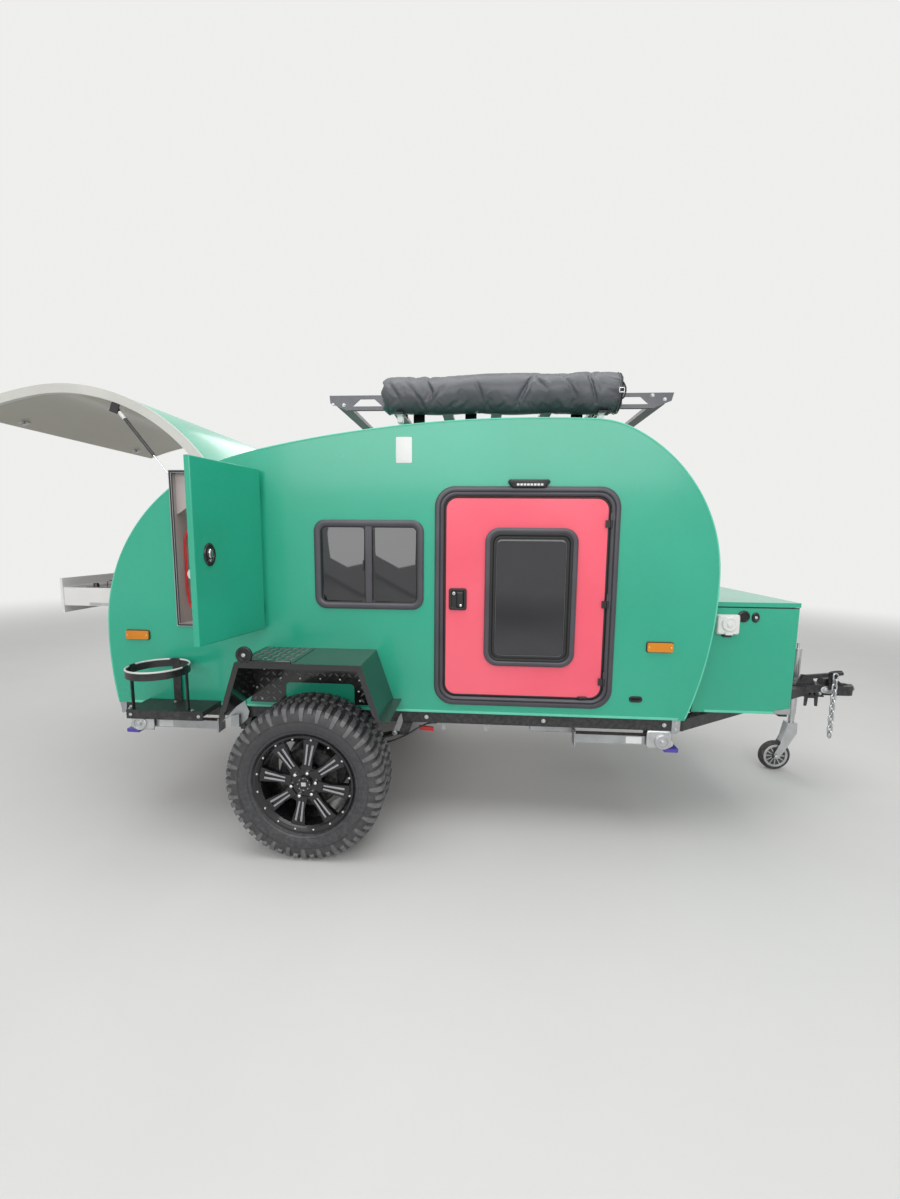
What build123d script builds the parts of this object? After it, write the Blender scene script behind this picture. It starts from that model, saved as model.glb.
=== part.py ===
from build123d import *
import math
import os

os.makedirs("parts", exist_ok=True)

# Datums: the origin is the centre of the tow pin's bore, X forward, Y left, Z up, all in mm.
# Sizes below are measured forward from the axle, out from the centre line and up from the ground.
axle_x = -3150.0
ground_z = -620.0

# Body shell
body_half = 750.0
wall = 30.0
roof = 25.0
lid = 45.0
body_foot = 650.0
floor_top = 675.0
sill_top = 684.0
lid_foot = 690.0
panel_gap = 6.0
profile_start = (1846.6, 602.9)
profile_heading = 68.4
# Outline arcs from the front foot over the roof to the rear foot: radius, turn in degrees
body_arcs = (
    (1959.0, 23.58),
    (803.0, 60.65),
    (456.0, 24.84),
    (6612.0, 14.13),
    (2224.0, 7.21),
    (939.0, 68.40),
    (1927.0, 14.53),
)

# Chassis
rail_w = 50.0
rail_h = 60.0
rail_out = body_half - 10.0
rail_rear = -1135.0
rail_front = 1805.0
rail_low = body_foot - rail_h
cross_w = 60.0
cross_low = rail_low + 10.0
cross_x = (-1105.0, -560.0, 60.0, 700.0, 1290.0)
beam_w = 50.0
beam_tip_x = 2880.0
beam_tip_y = 30.0
beam_root_y = rail_out - 35.0

# Running gear
tyre_r = 387.5
tyre_w = 265.0
rim_seat_r = 228.6
rim_lip_r = 245.0
rim_half_w = 121.5
track_half = body_half + 199.5
stub_r = 22.0
bearing_gap = 0.3
axle_s = 50.0
spring_y = rail_out - 25.0
shock_y = spring_y - 75.0
hub_y = track_half - 159.5
spring_w = 60.0
leaf_t = 8.0
leaf_count = 3
spring_half = 430.0
spring_eye_z = 530.0
spring_r = 1500.0
eye_r = 18.0
hanger_t = 6.0
cable_r = 4.0
cable_clip_z = rail_low - 4.7

# Doors and hatches
door_frame = (590.0, 1494.0, 699.0, 1810.0)
door_ring = 45.0
door_corner = 100.0
door_gap = 5.0
door_window = (843.0, 1297.0, 913.0, 1610.0)
door_hinge_y = body_half + 13.0
knuckle_r = 6.0
knuckle_l = 36.0
door_knuckles = (860.0, 1255.0, 1650.0)
hatch_knuckles = (1190.0, 1777.0)
side_window = (-26.0, 534.0, 1192.0, 1643.0)
window_ring = 32.0
window_corner = 58.0
window_t = 8.0
window_lap = 14.0
hatch = (-777.0, -318.0, 1080.0, 1887.0)
hatch_lip = 8.0
hatch_ring = 14.0
hatch_t = 27.0
hatch_gap = 5.0
hatch_open = 78.5
liner_t = 4.0
liner_in = body_half - 138.0

# Tailgate and its struts
hinge_x = -582.0
hinge_z = 1908.0
hinge_r = 6.0
lid_clear = 9.0
lid_open = 78.5
strut_y = body_half - wall - 26.0
strut_top = (-1071.0, 2200.0)
strut_foot = (-720.0, 1750.0)
strut_tube_l = 290.0
strut_tube_r = 9.0
strut_rod_r = 4.0
rod_gap = 0.4

# Galley
bulkhead_x = -305.0
board = 12.0
cabinet_rear = -1045.0
cabinet_half = liner_in - 3.0
bench_top = 1360.0
drawer_y = (board + 7.5 - cabinet_half, -165.0)
drawer_x = (-1070.0, -425.0)
drawer_z = (1153.0, 1256.0)
drawer_face_z = (1113.0, 1309.0)
drawer_travel = 494.0
runner_gap = 0.5

# Outside fittings
fender_w = 332.0
fender_top = 975.0
fender_x = (-300.0, 286.0)
fender_foot_x = (-385.0, 374.0)
fender_foot_z = 715.0
fender_lip = 22.0
fender_cut = (-200.0, 170.0, 690.0, 790.0)
fender_flange = 46.0
plate = 4.0
ring_in_r = 138.5
ring_t = 5.0
ring_x = -790.0
ring_y = body_half + 160.0
ring_z = (865.0, 903.0)
tray_x = (-962.0, -560.0)
tray_y = body_half + 180.0
tray_z = (630.0, 676.0)
rack_x = (-3.0, 1790.0)
rack_half = body_half - 225.0
rack_low = 2225.0
rack_top = 2305.0
slat_pitch = 275.0
bag_r = 83.0
bag_x = (318.0, 1492.0)
bag_y = rack_half + 107.0
bag_z = 2262.0
box_half = body_half - 100.0
box_x = (1935.0, 2025.0, 2430.0)
box_z = (665.0, 1220.0, 1248.0)
sheet = 3.0
stab_z = 528.0
stab_y = rail_out - 38.0
stab_len = 425.0
# Corner stabilisers: name, pivot x, side of the trailer, direction the folded leg points
stabilisers = (
    ("rear_right", -1020.0, -1, 1),
    ("rear_left", -1020.0, 1, 1),
    ("front_right", 1752.0, -1, -1),
    ("front_left", 1752.0, 1, -1),
)
pin_x = 3150.0
pin_z = 620.0
pin_bore_r = 17.6
pin_bore_l = 60.0
jockey_x = 2940.0
jockey_y = 150.0
jockey_clamp_z = (590.0, 650.0)
jockey_foot_z = 400.0
jockey_head_z = 840.0
jockey_r = 100.0
jockey_trail = 90.0
jockey_tube_r = 24.0
jockey_leg_r = 19.0

pieces = {}


def side(y):
    """Upright plane across the trailer: forward, up; extrudes towards the right-hand side."""
    return Plane(origin=(axle_x, y, ground_z), x_dir=(1, 0, 0), z_dir=(0, -1, 0))


def level(z):
    """Level plane: forward, left; extrudes upwards."""
    return Plane(origin=(axle_x, 0, ground_z + z), x_dir=(1, 0, 0), z_dir=(0, 0, 1))


def across(x):
    """Upright plane facing forward: left, up; extrudes forward."""
    return Plane(origin=(axle_x + x, 0, ground_z), x_dir=(0, 1, 0), z_dir=(1, 0, 0))


def outline(inset):
    """Return the body's outline, moved inwards, as a face for the open sketch."""
    with BuildLine(Plane.XY) as line:
        turn = math.radians(profile_heading)
        start = (
            profile_start[0] - inset * math.sin(turn),
            profile_start[1] + inset * math.cos(turn),
        )
        tangent = (math.cos(turn), math.sin(turn))
        point = start
        for radius, degrees in body_arcs:
            arc = JernArc(point, tangent, radius - inset, degrees)
            point = arc @ 1
            tangent = arc % 1
        Line(point, start)
    return make_face(line.line.edges(), mode=Mode.PRIVATE)


def span(low_x, high_x, low_z, high_z, mode):
    """Add, cut or keep a rectangle between two corners in the open sketch."""
    with Locations(((low_x + high_x) / 2, (low_z + high_z) / 2)):
        Rectangle(high_x - low_x, high_z - low_z, mode=mode)


def rounded(box, inset, corner, mode):
    """Add or cut a rounded rectangle, moved inwards, in the open sketch."""
    low_x, high_x, low_z, high_z = box
    with Locations(((low_x + high_x) / 2, (low_z + high_z) / 2)):
        RectangleRounded(
            high_x - low_x - 2 * inset,
            high_z - low_z - 2 * inset,
            corner - inset * 0.8,
            mode=mode,
        )


def block(low, high):
    """Add a box between two corners, given forward, left and up, in the open part."""
    centre = [(a + b) / 2 for a, b in zip(low, high)]
    size = [b - a for a, b in zip(low, high)]
    with Locations((axle_x + centre[0], centre[1], ground_z + centre[2])):
        Box(size[0], size[1], size[2])


# Chassis rails
with BuildPart() as chassis_rails:
    with BuildSketch(across(rail_rear)):
        for hand in (-1, 1):
            with Locations((hand * (rail_out - rail_w / 2), rail_low + rail_h / 2)):
                Rectangle(rail_w, rail_h)
                Rectangle(rail_w - 8, rail_h - 8, mode=Mode.SUBTRACT)
    extrude(amount=rail_front - rail_rear)
    for hand in (-1, 1):
        near, far = sorted((hand * (rail_out - 32), hand * (rail_out - 16)))
        block((576, near, cable_clip_z), (600, far, rail_low))
pieces["chassis_rails"] = chassis_rails.part

# Crossmembers between the rails and across the front
with BuildPart() as crossmembers:
    for x in cross_x:
        block((x - cross_w / 2, rail_w - rail_out, cross_low), (x + cross_w / 2, rail_out - rail_w, body_foot))
    block((rail_front, -rail_out, rail_low), (rail_front + cross_w, rail_out, body_foot))
pieces["crossmembers"] = crossmembers.part

# Drawbar beams from the front crossmember to the coupling
with BuildPart() as drawbar_beams:
    with BuildSketch(level(rail_low)):
        root_x = rail_front + cross_w
        run = beam_tip_x - root_x
        rise = beam_root_y - beam_tip_y
        shift = beam_w / 2 * math.hypot(run, rise) / run
        for hand in (-1, 1):
            with BuildLine():
                Polyline(
                    (root_x, hand * (beam_root_y - shift)),
                    (root_x, hand * (beam_root_y + shift)),
                    (beam_tip_x, hand * (beam_tip_y + shift)),
                    (beam_tip_x, hand * (beam_tip_y - shift)),
                    (root_x, hand * (beam_root_y - shift)),
                )
            make_face()
        span(root_x, beam_tip_x + 1, -1.5, 1.5, Mode.SUBTRACT)
    extrude(amount=rail_h)
    for low_x in (box_x[0] + 10, box_x[2] - 45):
        block((low_x, 10 - box_half, body_foot), (low_x + 40, box_half - 10, box_z[0]))
pieces["drawbar_beams"] = drawbar_beams.part

# Floor with the rear sill
with BuildPart() as floor_panel:
    with BuildSketch(side(body_half - wall)):
        add(outline(roof))
        span(-1000, 2000, body_foot, floor_top, Mode.INTERSECT)
        with BuildSketch(Plane.XY):
            add(outline(0))
            span(-1400, -990, body_foot, sill_top, Mode.INTERSECT)
            span(-1090, -980, floor_top, sill_top + 1, Mode.SUBTRACT)
    extrude(amount=2 * (body_half - wall))
pieces["floor_panel"] = floor_panel.part

# Side walls
hatch_x0, hatch_x1, hatch_z0, hatch_z1 = hatch
with BuildPart() as side_wall_right:
    with BuildSketch(side(wall - body_half)):
        add(outline(0))
        span(-1400, 2200, body_foot, 2400, Mode.INTERSECT)
        rounded(door_frame, 3, door_corner, Mode.SUBTRACT)
        rounded(side_window, window_lap, window_corner, Mode.SUBTRACT)
        span(hatch_x0 + 4, hatch_x1 - 4, hatch_z0 + 4, hatch_z1 + 120, Mode.SUBTRACT)
        with BuildSketch(Plane.XY):
            add(outline(0))
            span(hatch_x0 + 3, hatch_x1, hatch_z1 - 4, 2400, Mode.INTERSECT)
    extrude(amount=wall)
pieces["side_wall_right"] = side_wall_right.part
pieces["side_wall_left"] = mirror(side_wall_right.part, about=Plane.XZ)

# Roof and front panel in one sweep, ending at the tailgate's hinge bead
with BuildPart() as roof_panel:
    with BuildSketch(side(body_half - wall)):
        add(outline(0))
        add(outline(roof), mode=Mode.SUBTRACT)
        span(hinge_x, 2200, body_foot, 2400, Mode.INTERSECT)
        span(-1400, 1500, 500, 1500, Mode.SUBTRACT)
    extrude(amount=2 * (body_half - wall))
    with BuildSketch(side(body_half - wall - panel_gap)):
        with Locations((hinge_x, hinge_z)):
            Circle(hinge_r)
    extrude(amount=2 * (body_half - wall - panel_gap))
pieces["roof_panel"] = roof_panel.part

# Bulkhead between cabin and galley
with BuildPart() as bulkhead:
    with BuildSketch(side(body_half - wall)):
        add(outline(roof))
        span(bulkhead_x, bulkhead_x + board, floor_top, 2400, Mode.INTERSECT)
    extrude(amount=2 * (body_half - wall))
pieces["bulkhead"] = bulkhead.part

# Galley cabinet: bench, sides, divider, shelves and the drawer's runners
runner_z = (drawer_z[0] + 30, drawer_z[0] + 65)
divider_y = drawer_y[1] + 7
with BuildPart() as galley_cabinet:
    for hand in (-1, 1):
        inner, outer = sorted((hand * (cabinet_half - board), hand * cabinet_half))
        block((cabinet_rear, inner, floor_top), (bulkhead_x, outer, bench_top - 15))
    block((cabinet_rear, -cabinet_half, bench_top - 15), (bulkhead_x, cabinet_half, bench_top))
    block((cabinet_rear, divider_y, floor_top), (bulkhead_x, divider_y + board, bench_top - 15))
    shelf_z = drawer_face_z[0] - 8
    block(
        (cabinet_rear, board - cabinet_half, shelf_z - board),
        (bulkhead_x, divider_y, shelf_z),
    )
    block((cabinet_rear, divider_y + board, 1000), (bulkhead_x, cabinet_half - board, 1000 + board))
    block(
        (cabinet_rear, board - cabinet_half, runner_z[0]),
        (-400, drawer_y[0] - runner_gap, runner_z[1]),
    )
    block(
        (cabinet_rear, drawer_y[1] + runner_gap, runner_z[0]),
        (-400, divider_y, runner_z[1]),
    )
    block((-560, -cabinet_half, 1690), (bulkhead_x, cabinet_half, 1690 + board))
    block((-560, -cabinet_half, 1690 + board), (-560 + board, cabinet_half, 1740))
pieces["galley_cabinet"] = galley_cabinet.part

# Slide-out galley drawer, drawn pulled out as the trailer stands
with BuildPart() as galley_drawer:
    out_x = drawer_x[0] - drawer_travel
    back_x = drawer_x[1] - drawer_travel
    block((out_x + 15, drawer_y[0], drawer_z[0]), (back_x, drawer_y[1], drawer_z[1]))
    top = galley_drawer.faces().sort_by(Axis.Z)[-1]
    offset(amount=-8, openings=top, mode=Mode.REPLACE)
    block((out_x, drawer_y[0] - 5, drawer_face_z[0]), (out_x + 15, drawer_y[1] + 3, drawer_face_z[1]))
pieces["galley_drawer"] = galley_drawer.part

# Main door frames
door_axis_x = door_frame[1] - door_ring
with BuildPart() as door_frames:
    for hand in (-1, 1):
        start = hand * body_half + (wall if hand < 0 else -wall) * 1.0
        with BuildSketch(side(start)):
            rounded(door_frame, 3, door_corner, Mode.ADD)
            rounded(door_frame, door_ring, door_corner, Mode.SUBTRACT)
        extrude(amount=-hand * wall)
        with BuildSketch(side(hand * body_half)):
            rounded(door_frame, 0, door_corner, Mode.ADD)
            rounded(door_frame, door_ring, door_corner, Mode.SUBTRACT)
        extrude(amount=-hand * 6)
        near, far = sorted((hand * body_half, hand * door_hinge_y))
        for z in door_knuckles:
            low_z = z + rod_gap
            block((door_axis_x, near, low_z), (door_axis_x + 16, far, low_z + knuckle_l))
            with BuildSketch(level(low_z)):
                with Locations((door_axis_x, hand * door_hinge_y)):
                    Circle(knuckle_r)
            extrude(amount=knuckle_l)
pieces["door_frames"] = door_frames.part

# Side windows: frame with its pane and the centre bar
with BuildPart() as side_windows:
    for hand in (-1, 1):
        with BuildSketch(side(hand * body_half)):
            rounded(side_window, 0, window_corner, Mode.ADD)
        extrude(amount=-hand * window_t)
        with BuildSketch(side(hand * (body_half + window_t))):
            rounded(side_window, window_ring, window_corner, Mode.ADD)
        extrude(amount=hand * 5, mode=Mode.SUBTRACT)
        with BuildSketch(side(hand * (body_half + window_t - 5))):
            middle = (side_window[0] + side_window[1]) / 2
            span(middle - 18, middle + 18, side_window[2] + 30, side_window[3] - 30, Mode.ADD)
        extrude(amount=-hand * 5)
        with BuildSketch(side(hand * body_half)):
            rounded(side_window, window_lap + 0.5, window_corner, Mode.ADD)
        extrude(amount=hand * 20)
pieces["side_windows"] = side_windows.part

# Main doors, drawn closed
door_inset = door_ring + door_gap
with BuildPart() as door_right:
    with BuildSketch(side(wall - body_half)):
        rounded(door_frame, door_inset, door_corner, Mode.ADD)
        rounded(door_window, window_lap, window_corner + 12, Mode.SUBTRACT)
    extrude(amount=wall + 2)
    for z in door_knuckles:
        block((door_axis_x - 26, -door_hinge_y, z - knuckle_l), (door_axis_x - 2, -body_half, z))
        with BuildSketch(level(z - knuckle_l)):
            with Locations((door_axis_x, -door_hinge_y)):
                Circle(knuckle_r)
        extrude(amount=knuckle_l)
pieces["door_right"] = door_right.part
pieces["door_left"] = mirror(door_right.part, about=Plane.XZ)

# Door windows: a domed frame with its pane
with BuildPart() as door_window_right:
    with BuildSketch(side(-body_half - 2)):
        rounded(door_window, 0, window_corner + 12, Mode.ADD)
    extrude(amount=14)
    chamfer(door_window_right.faces().sort_by(Axis.Y)[0].edges(), length=6)
    with BuildSketch(side(-body_half - 16)):
        rounded(door_window, window_ring + 4, window_corner + 12, Mode.ADD)
    extrude(amount=-8, mode=Mode.SUBTRACT)
    with BuildSketch(side(-body_half - 2)):
        rounded(door_window, window_lap + 0.5, window_corner + 12, Mode.ADD)
    extrude(amount=-20)
pieces["door_window_right"] = door_window_right.part
pieces["door_window_left"] = mirror(door_window_right.part, about=Plane.XZ)

hatch_axis_x = hatch_x1 + 6
hatch_axis_y = body_half + hatch_lip + hatch_gap
# Service hatch frames: a rectangular ring with a web across the rear top corner and the strut's stud
liner_top = (
    (hatch_x0 + 7, hatch_z0 + 8),
    (hatch_x1 - 7, hatch_z0 + 8),
    (hatch_x1 - 7, hatch_z1 - 7),
    (-430.0, hatch_z1 - 7),
    (hatch_x0 + 7, 1665.0),
)
with BuildPart() as hatch_frames:
    for hand in (-1, 1):
        inner_y = hand * (body_half - wall)
        with BuildSketch(side(inner_y)):
            span(hatch_x0 + 4, hatch_x1 - 4, hatch_z0 + 4, hatch_z1 - 4, Mode.ADD)
            span(
                hatch_x0 + hatch_ring,
                hatch_x1 - hatch_ring,
                hatch_z0 + hatch_ring,
                hatch_z1 - hatch_ring,
                Mode.SUBTRACT,
            )
        extrude(amount=-hand * (wall + hatch_lip))
        with BuildSketch(side(hand * body_half)):
            span(hatch_x0, hatch_x1, hatch_z0, hatch_z1, Mode.ADD)
            span(
                hatch_x0 + hatch_ring,
                hatch_x1 - hatch_ring,
                hatch_z0 + hatch_ring,
                hatch_z1 - hatch_ring,
                Mode.SUBTRACT,
            )
        extrude(amount=-hand * hatch_lip)
        with BuildSketch(side(inner_y)):
            with BuildLine():
                Polyline(
                    (hatch_x0 + 8, 1660.0),
                    (hatch_x0 + 8, hatch_z1 - 8),
                    (-425.0, hatch_z1 - 8),
                    (hatch_x0 + 8, 1660.0),
                )
            make_face()
        extrude(amount=-hand * 6)
        with BuildSketch(side(inner_y)):
            with Locations(strut_foot):
                Circle(5)
        extrude(amount=hand * (body_half - wall - strut_y - 3.5))
        near, far = sorted((hand * body_half, hand * hatch_axis_y))
        for z in hatch_knuckles:
            low_z = z + rod_gap
            block((hatch_x1 - 2, near, low_z), (hatch_axis_x + 4, far - (3 if hand > 0 else 0), low_z + knuckle_l))
            with BuildSketch(level(low_z)):
                with Locations((hatch_axis_x, hand * hatch_axis_y)):
                    Circle(5)
            extrude(amount=knuckle_l)
pieces["hatch_frames"] = hatch_frames.part

# Liners behind the service hatches
with BuildPart() as hatch_liners:
    for hand in (-1, 1):
        with BuildSketch(side(hand * (body_half - wall))):
            with BuildLine():
                Polyline(*liner_top, close=True)
            make_face()
        extrude(amount=hand * (body_half - wall - liner_in))
        with BuildSketch(side(hand * (body_half - wall))):
            with BuildLine():
                Polyline(*liner_top, close=True)
            make_face()
            offset(amount=-liner_t, kind=Kind.INTERSECTION, mode=Mode.REPLACE)
        extrude(amount=hand * (body_half - wall - liner_in - liner_t), mode=Mode.SUBTRACT)
pieces["hatch_liners"] = hatch_liners.part

# Service hatches: the right one stands open, the left one is closed
with BuildPart() as hatch_left:
    with BuildSketch(side(hatch_axis_y + hatch_t)):
        span(hatch_x0, hatch_x1 - 4, hatch_z0, hatch_z1, Mode.ADD)
    extrude(amount=hatch_t)
    edges = hatch_left.faces().sort_by(Axis.Y)[-1].edges()
    fillet(edges, radius=5)
    for z in hatch_knuckles:
        with BuildSketch(level(z - knuckle_l)):
            with Locations((hatch_axis_x, hatch_axis_y)):
                Circle(5)
            span(hatch_x1 - 6, hatch_axis_x, hatch_axis_y, hatch_axis_y + 4.5, Mode.ADD)
        extrude(amount=knuckle_l)
pieces["hatch_left"] = hatch_left.part
closed_right = mirror(hatch_left.part, about=Plane.XZ)
hatch_axis = Axis((axle_x + hatch_axis_x, -hatch_axis_y, 0), (0, 0, 1))
pieces["hatch_right"] = closed_right.rotate(hatch_axis, hatch_open)

# Tailgate, drawn closed and then swung open about its hinge
strut_top_shut = Vector(strut_top[0] - hinge_x, strut_top[1] - hinge_z).rotate(Axis.Z, lid_open)
shut_x = hinge_x + strut_top_shut.X
shut_z = hinge_z + strut_top_shut.Y
with BuildPart() as tailgate_shut:
    with BuildSketch(side(body_half - wall - panel_gap)):
        add(outline(0))
        add(outline(lid), mode=Mode.SUBTRACT)
        span(-1400, hinge_x - lid_clear, lid_foot, 2400, Mode.INTERSECT)
    extrude(amount=2 * (body_half - wall - panel_gap))
    for hand in (-1, 1):
        plate_y = hand * (strut_y + strut_tube_r + 2.5)
        with BuildSketch(side(plate_y)):
            add(outline(lid - 2))
            with Locations((shut_x - 12, shut_z)):
                Rectangle(64, 44, rotation=-32, mode=Mode.INTERSECT)
        extrude(amount=hand * -5)
        with BuildSketch(side(plate_y)):
            with Locations((shut_x, shut_z)):
                Circle(4)
        extrude(amount=hand * (strut_tube_r * 2 + 4))
lid_axis = Axis((axle_x + hinge_x, 0, ground_z + hinge_z), (0, 1, 0))
pieces["tailgate"] = tailgate_shut.part.rotate(lid_axis, lid_open)

# Gas struts: a tube hung on the tailgate and a rod down to the hatch frame's stud
strut_run = strut_foot[0] - strut_top[0]
strut_drop = strut_top[1] - strut_foot[1]
strut_l = math.hypot(strut_run, strut_drop)
strut_dir = (strut_run / strut_l, 0, -strut_drop / strut_l)
for hand, name in ((-1, "right"), (1, "left")):
    base = Plane(
        origin=(axle_x + strut_top[0], hand * strut_y, ground_z + strut_top[1]),
        x_dir=(0, 1, 0),
        z_dir=strut_dir,
    )
    with BuildPart() as strut_tube:
        with BuildSketch(base.offset(14)):
            Circle(strut_tube_r)
        extrude(amount=strut_tube_l - 14)
        with BuildSketch(base.offset(40)):
            Circle(strut_tube_r - 2)
        extrude(amount=strut_tube_l - 55, mode=Mode.SUBTRACT)
        with BuildSketch(base.offset(strut_tube_l - 16)):
            Circle(strut_rod_r + rod_gap)
        extrude(amount=17, mode=Mode.SUBTRACT)
        with BuildSketch(side(hand * strut_y + 5)):
            with Locations(strut_top):
                Circle(10)
        extrude(amount=10)
        with BuildSketch(base):
            Rectangle(10, 10)
        extrude(amount=16)
        with BuildSketch(side(hand * strut_y + 6)):
            with Locations(strut_top):
                Circle(4 + rod_gap)
        extrude(amount=12, mode=Mode.SUBTRACT)
    pieces["strut_tube_" + name] = strut_tube.part
    with BuildPart() as strut_rod:
        with BuildSketch(base.offset(strut_tube_l - 30)):
            Circle(strut_rod_r)
        extrude(amount=strut_l - strut_tube_l + 22)
        with BuildSketch(side(hand * strut_y + 3)):
            with Locations(strut_foot):
                Circle(9)
        extrude(amount=6)
    pieces["strut_rod_" + name] = strut_rod.part

# Fenders: folded tread plate with a lip, a backing plate with its cut-out and a front flange
fender_line = (
    (fender_foot_x[0], fender_foot_z),
    (fender_x[0], fender_top),
    (fender_x[1], fender_top),
    (fender_foot_x[1], fender_foot_z),
)
with BuildPart() as fenders:
    for hand in (-1, 1):
        with BuildSketch(side(hand * body_half)):
            with BuildLine():
                Polyline(*fender_line)
                offset(amount=-plate, side=Side.BOTH)
            make_face()
        extrude(amount=-hand * fender_w)
        with BuildSketch(side(hand * body_half)):
            with BuildLine():
                Polyline(*fender_line, close=True)
            make_face()
            rounded(fender_cut, 0, 24, Mode.SUBTRACT)
        extrude(amount=-hand * 3)
        with BuildSketch(side(hand * (body_half + fender_w - plate))):
            with BuildLine():
                Polyline(*fender_line, close=True)
            make_face()
            offset(amount=-fender_lip, kind=Kind.INTERSECTION, mode=Mode.SUBTRACT)
            span(
                fender_foot_x[0] + 1.1 * fender_lip,
                fender_foot_x[1] - 1.1 * fender_lip,
                fender_foot_z - 1,
                fender_foot_z + fender_lip + 1,
                Mode.SUBTRACT,
            )
        extrude(amount=-hand * plate)
        near, far = sorted((hand * body_half, hand * (body_half + fender_w)))
        block(
            (fender_foot_x[1] - 2, near, fender_foot_z - plate),
            (fender_foot_x[1] + fender_flange, far, fender_foot_z + plate),
        )
pieces["fenders"] = fenders.part

# Gas bottle ring on two thin legs and a wide one, over its folded tray beside the rail
with BuildPart() as gas_ring:
    for hand in (-1,):
        with BuildSketch(level(ring_z[0])):
            with Locations((ring_x, hand * ring_y)):
                Circle(ring_in_r + ring_t)
                Circle(ring_in_r, mode=Mode.SUBTRACT)
        extrude(amount=ring_z[1] - ring_z[0])
        block((tray_x[0], -tray_y, tray_z[1] - 4), (tray_x[1], -body_half - 3, tray_z[1]))
        block((tray_x[0], -tray_y, tray_z[0]), (tray_x[1], -tray_y + 4, tray_z[1]))
        block((tray_x[0], -body_half - 7, rail_low + 16), (tray_x[1], -body_half - 3, tray_z[1]))
        for end in (tray_x[0], tray_x[1] - 4):
            block((end, -tray_y, tray_z[0] + 20), (end + 4, -body_half - 3, tray_z[1]))
        for spacer_x in (tray_x[0] + 30, tray_x[1] - 80):
            block((spacer_x, -body_half - 5, rail_low + 16), (spacer_x + 50, -rail_out, body_foot - 10))
        for angle, leg_w in ((0, 18), (90, 42), (180, 18)):
            with BuildSketch(level(tray_z[1] - 2)):
                with Locations((ring_x, hand * ring_y)):
                    with PolarLocations(ring_in_r + ring_t + 2, 1, angle):
                        Rectangle(6, leg_w)
            extrude(amount=ring_z[1] - tray_z[1])
pieces["gas_bottle_ring"] = gas_ring.part

gland = (56.0, 410.0)
# Axle: square beam, stub ends, backing plates, spring seats and clamp rods
leaf_mid_z = 468.0
leaf_low = leaf_mid_z + leaf_t / 2 - leaf_count * leaf_t
stub_end = track_half + 30.0
with BuildPart() as axle_beam:
    block((-axle_s / 2, -hub_y, tyre_r - axle_s / 2), (axle_s / 2, hub_y, tyre_r + axle_s / 2))
    for hand in (-1, 1):
        for low_y, high_y, radius in (
            (hub_y, stub_end, stub_r),
            (hub_y + 10, hub_y + 18, 118),
            (hub_y - 10, hub_y + 10, 46),
        ):
            with BuildSketch(side(hand * low_y)):
                with Locations((0, tyre_r)):
                    Circle(radius)
            extrude(amount=-hand * (high_y - low_y))
        near, far = sorted((hand * (spring_y - 29), hand * (spring_y + 29)))
        block((-30, near, tyre_r + axle_s / 2), (30, far, leaf_low - 0.3))
        near, far = sorted((hand * (spring_y - 44), hand * (spring_y + 44)))
        top_z = leaf_mid_z + leaf_t / 2 + 0.9
        block((-48, near, top_z), (48, far, top_z + 8))
        block((-48, near, tyre_r - axle_s / 2 - 10), (48, far, tyre_r - axle_s / 2))
        for rod_x in (-34, 34):
            for rod_y in (spring_y - 37, spring_y + 37):
                with BuildSketch(level(tyre_r - axle_s / 2 - 14)):
                    with Locations((rod_x, hand * rod_y)):
                        Circle(5)
                extrude(amount=top_z + 14 - tyre_r + axle_s / 2 + 8)
        with BuildSketch(side(hand * hub_y)):
            with Locations(gland):
                Circle(10)
        extrude(amount=-hand * 10)
        with BuildSketch(side(hand * (hub_y - 2))):
            with Locations(gland):
                Circle(cable_r + rod_gap)
        extrude(amount=-hand * 14, mode=Mode.SUBTRACT)
        near, far = sorted((hand * (shock_y - 12), hand * (shock_y + 12)))
        block((-62, near, tyre_r - 12), (-axle_s / 2, far, tyre_r + 12))
pieces["axle_beam"] = axle_beam.part

# Leaf springs: stacked arcs, half length of each leaf from the top one down
leaf_halves = (spring_half, 330.0, 220.0)
with BuildPart() as leaf_springs:
    for hand in (-1, 1):
        start = hand * (spring_y - spring_w / 2)
        with BuildSketch(side(start)):
            for step, half in enumerate(leaf_halves):
                mid_r = spring_r + step * leaf_t
                reach = math.degrees(math.asin(half / mid_r))
                with BuildLine():
                    outer = CenterArc((0, leaf_mid_z + spring_r), mid_r + leaf_t / 2, 270 - reach, 2 * reach)
                    inner = CenterArc((0, leaf_mid_z + spring_r), mid_r - leaf_t / 2, 270 - reach, 2 * reach)
                    Line(outer @ 0, inner @ 0)
                    Line(outer @ 1, inner @ 1)
                make_face()
            eye_rise = spring_r - math.sqrt(spring_r**2 - spring_half**2)
            for way in (-1, 1):
                with Locations((way * (spring_half + 4), leaf_mid_z + eye_rise + eye_r - 4)):
                    Circle(eye_r)
            for way in (-1, 1):
                with Locations((way * (spring_half + 4), leaf_mid_z + eye_rise + eye_r - 4)):
                    Circle(eye_r - 9, mode=Mode.SUBTRACT)
        extrude(amount=-hand * spring_w)
pieces["leaf_springs"] = leaf_springs.part
eye_z = leaf_mid_z + eye_rise + eye_r - 4

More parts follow.
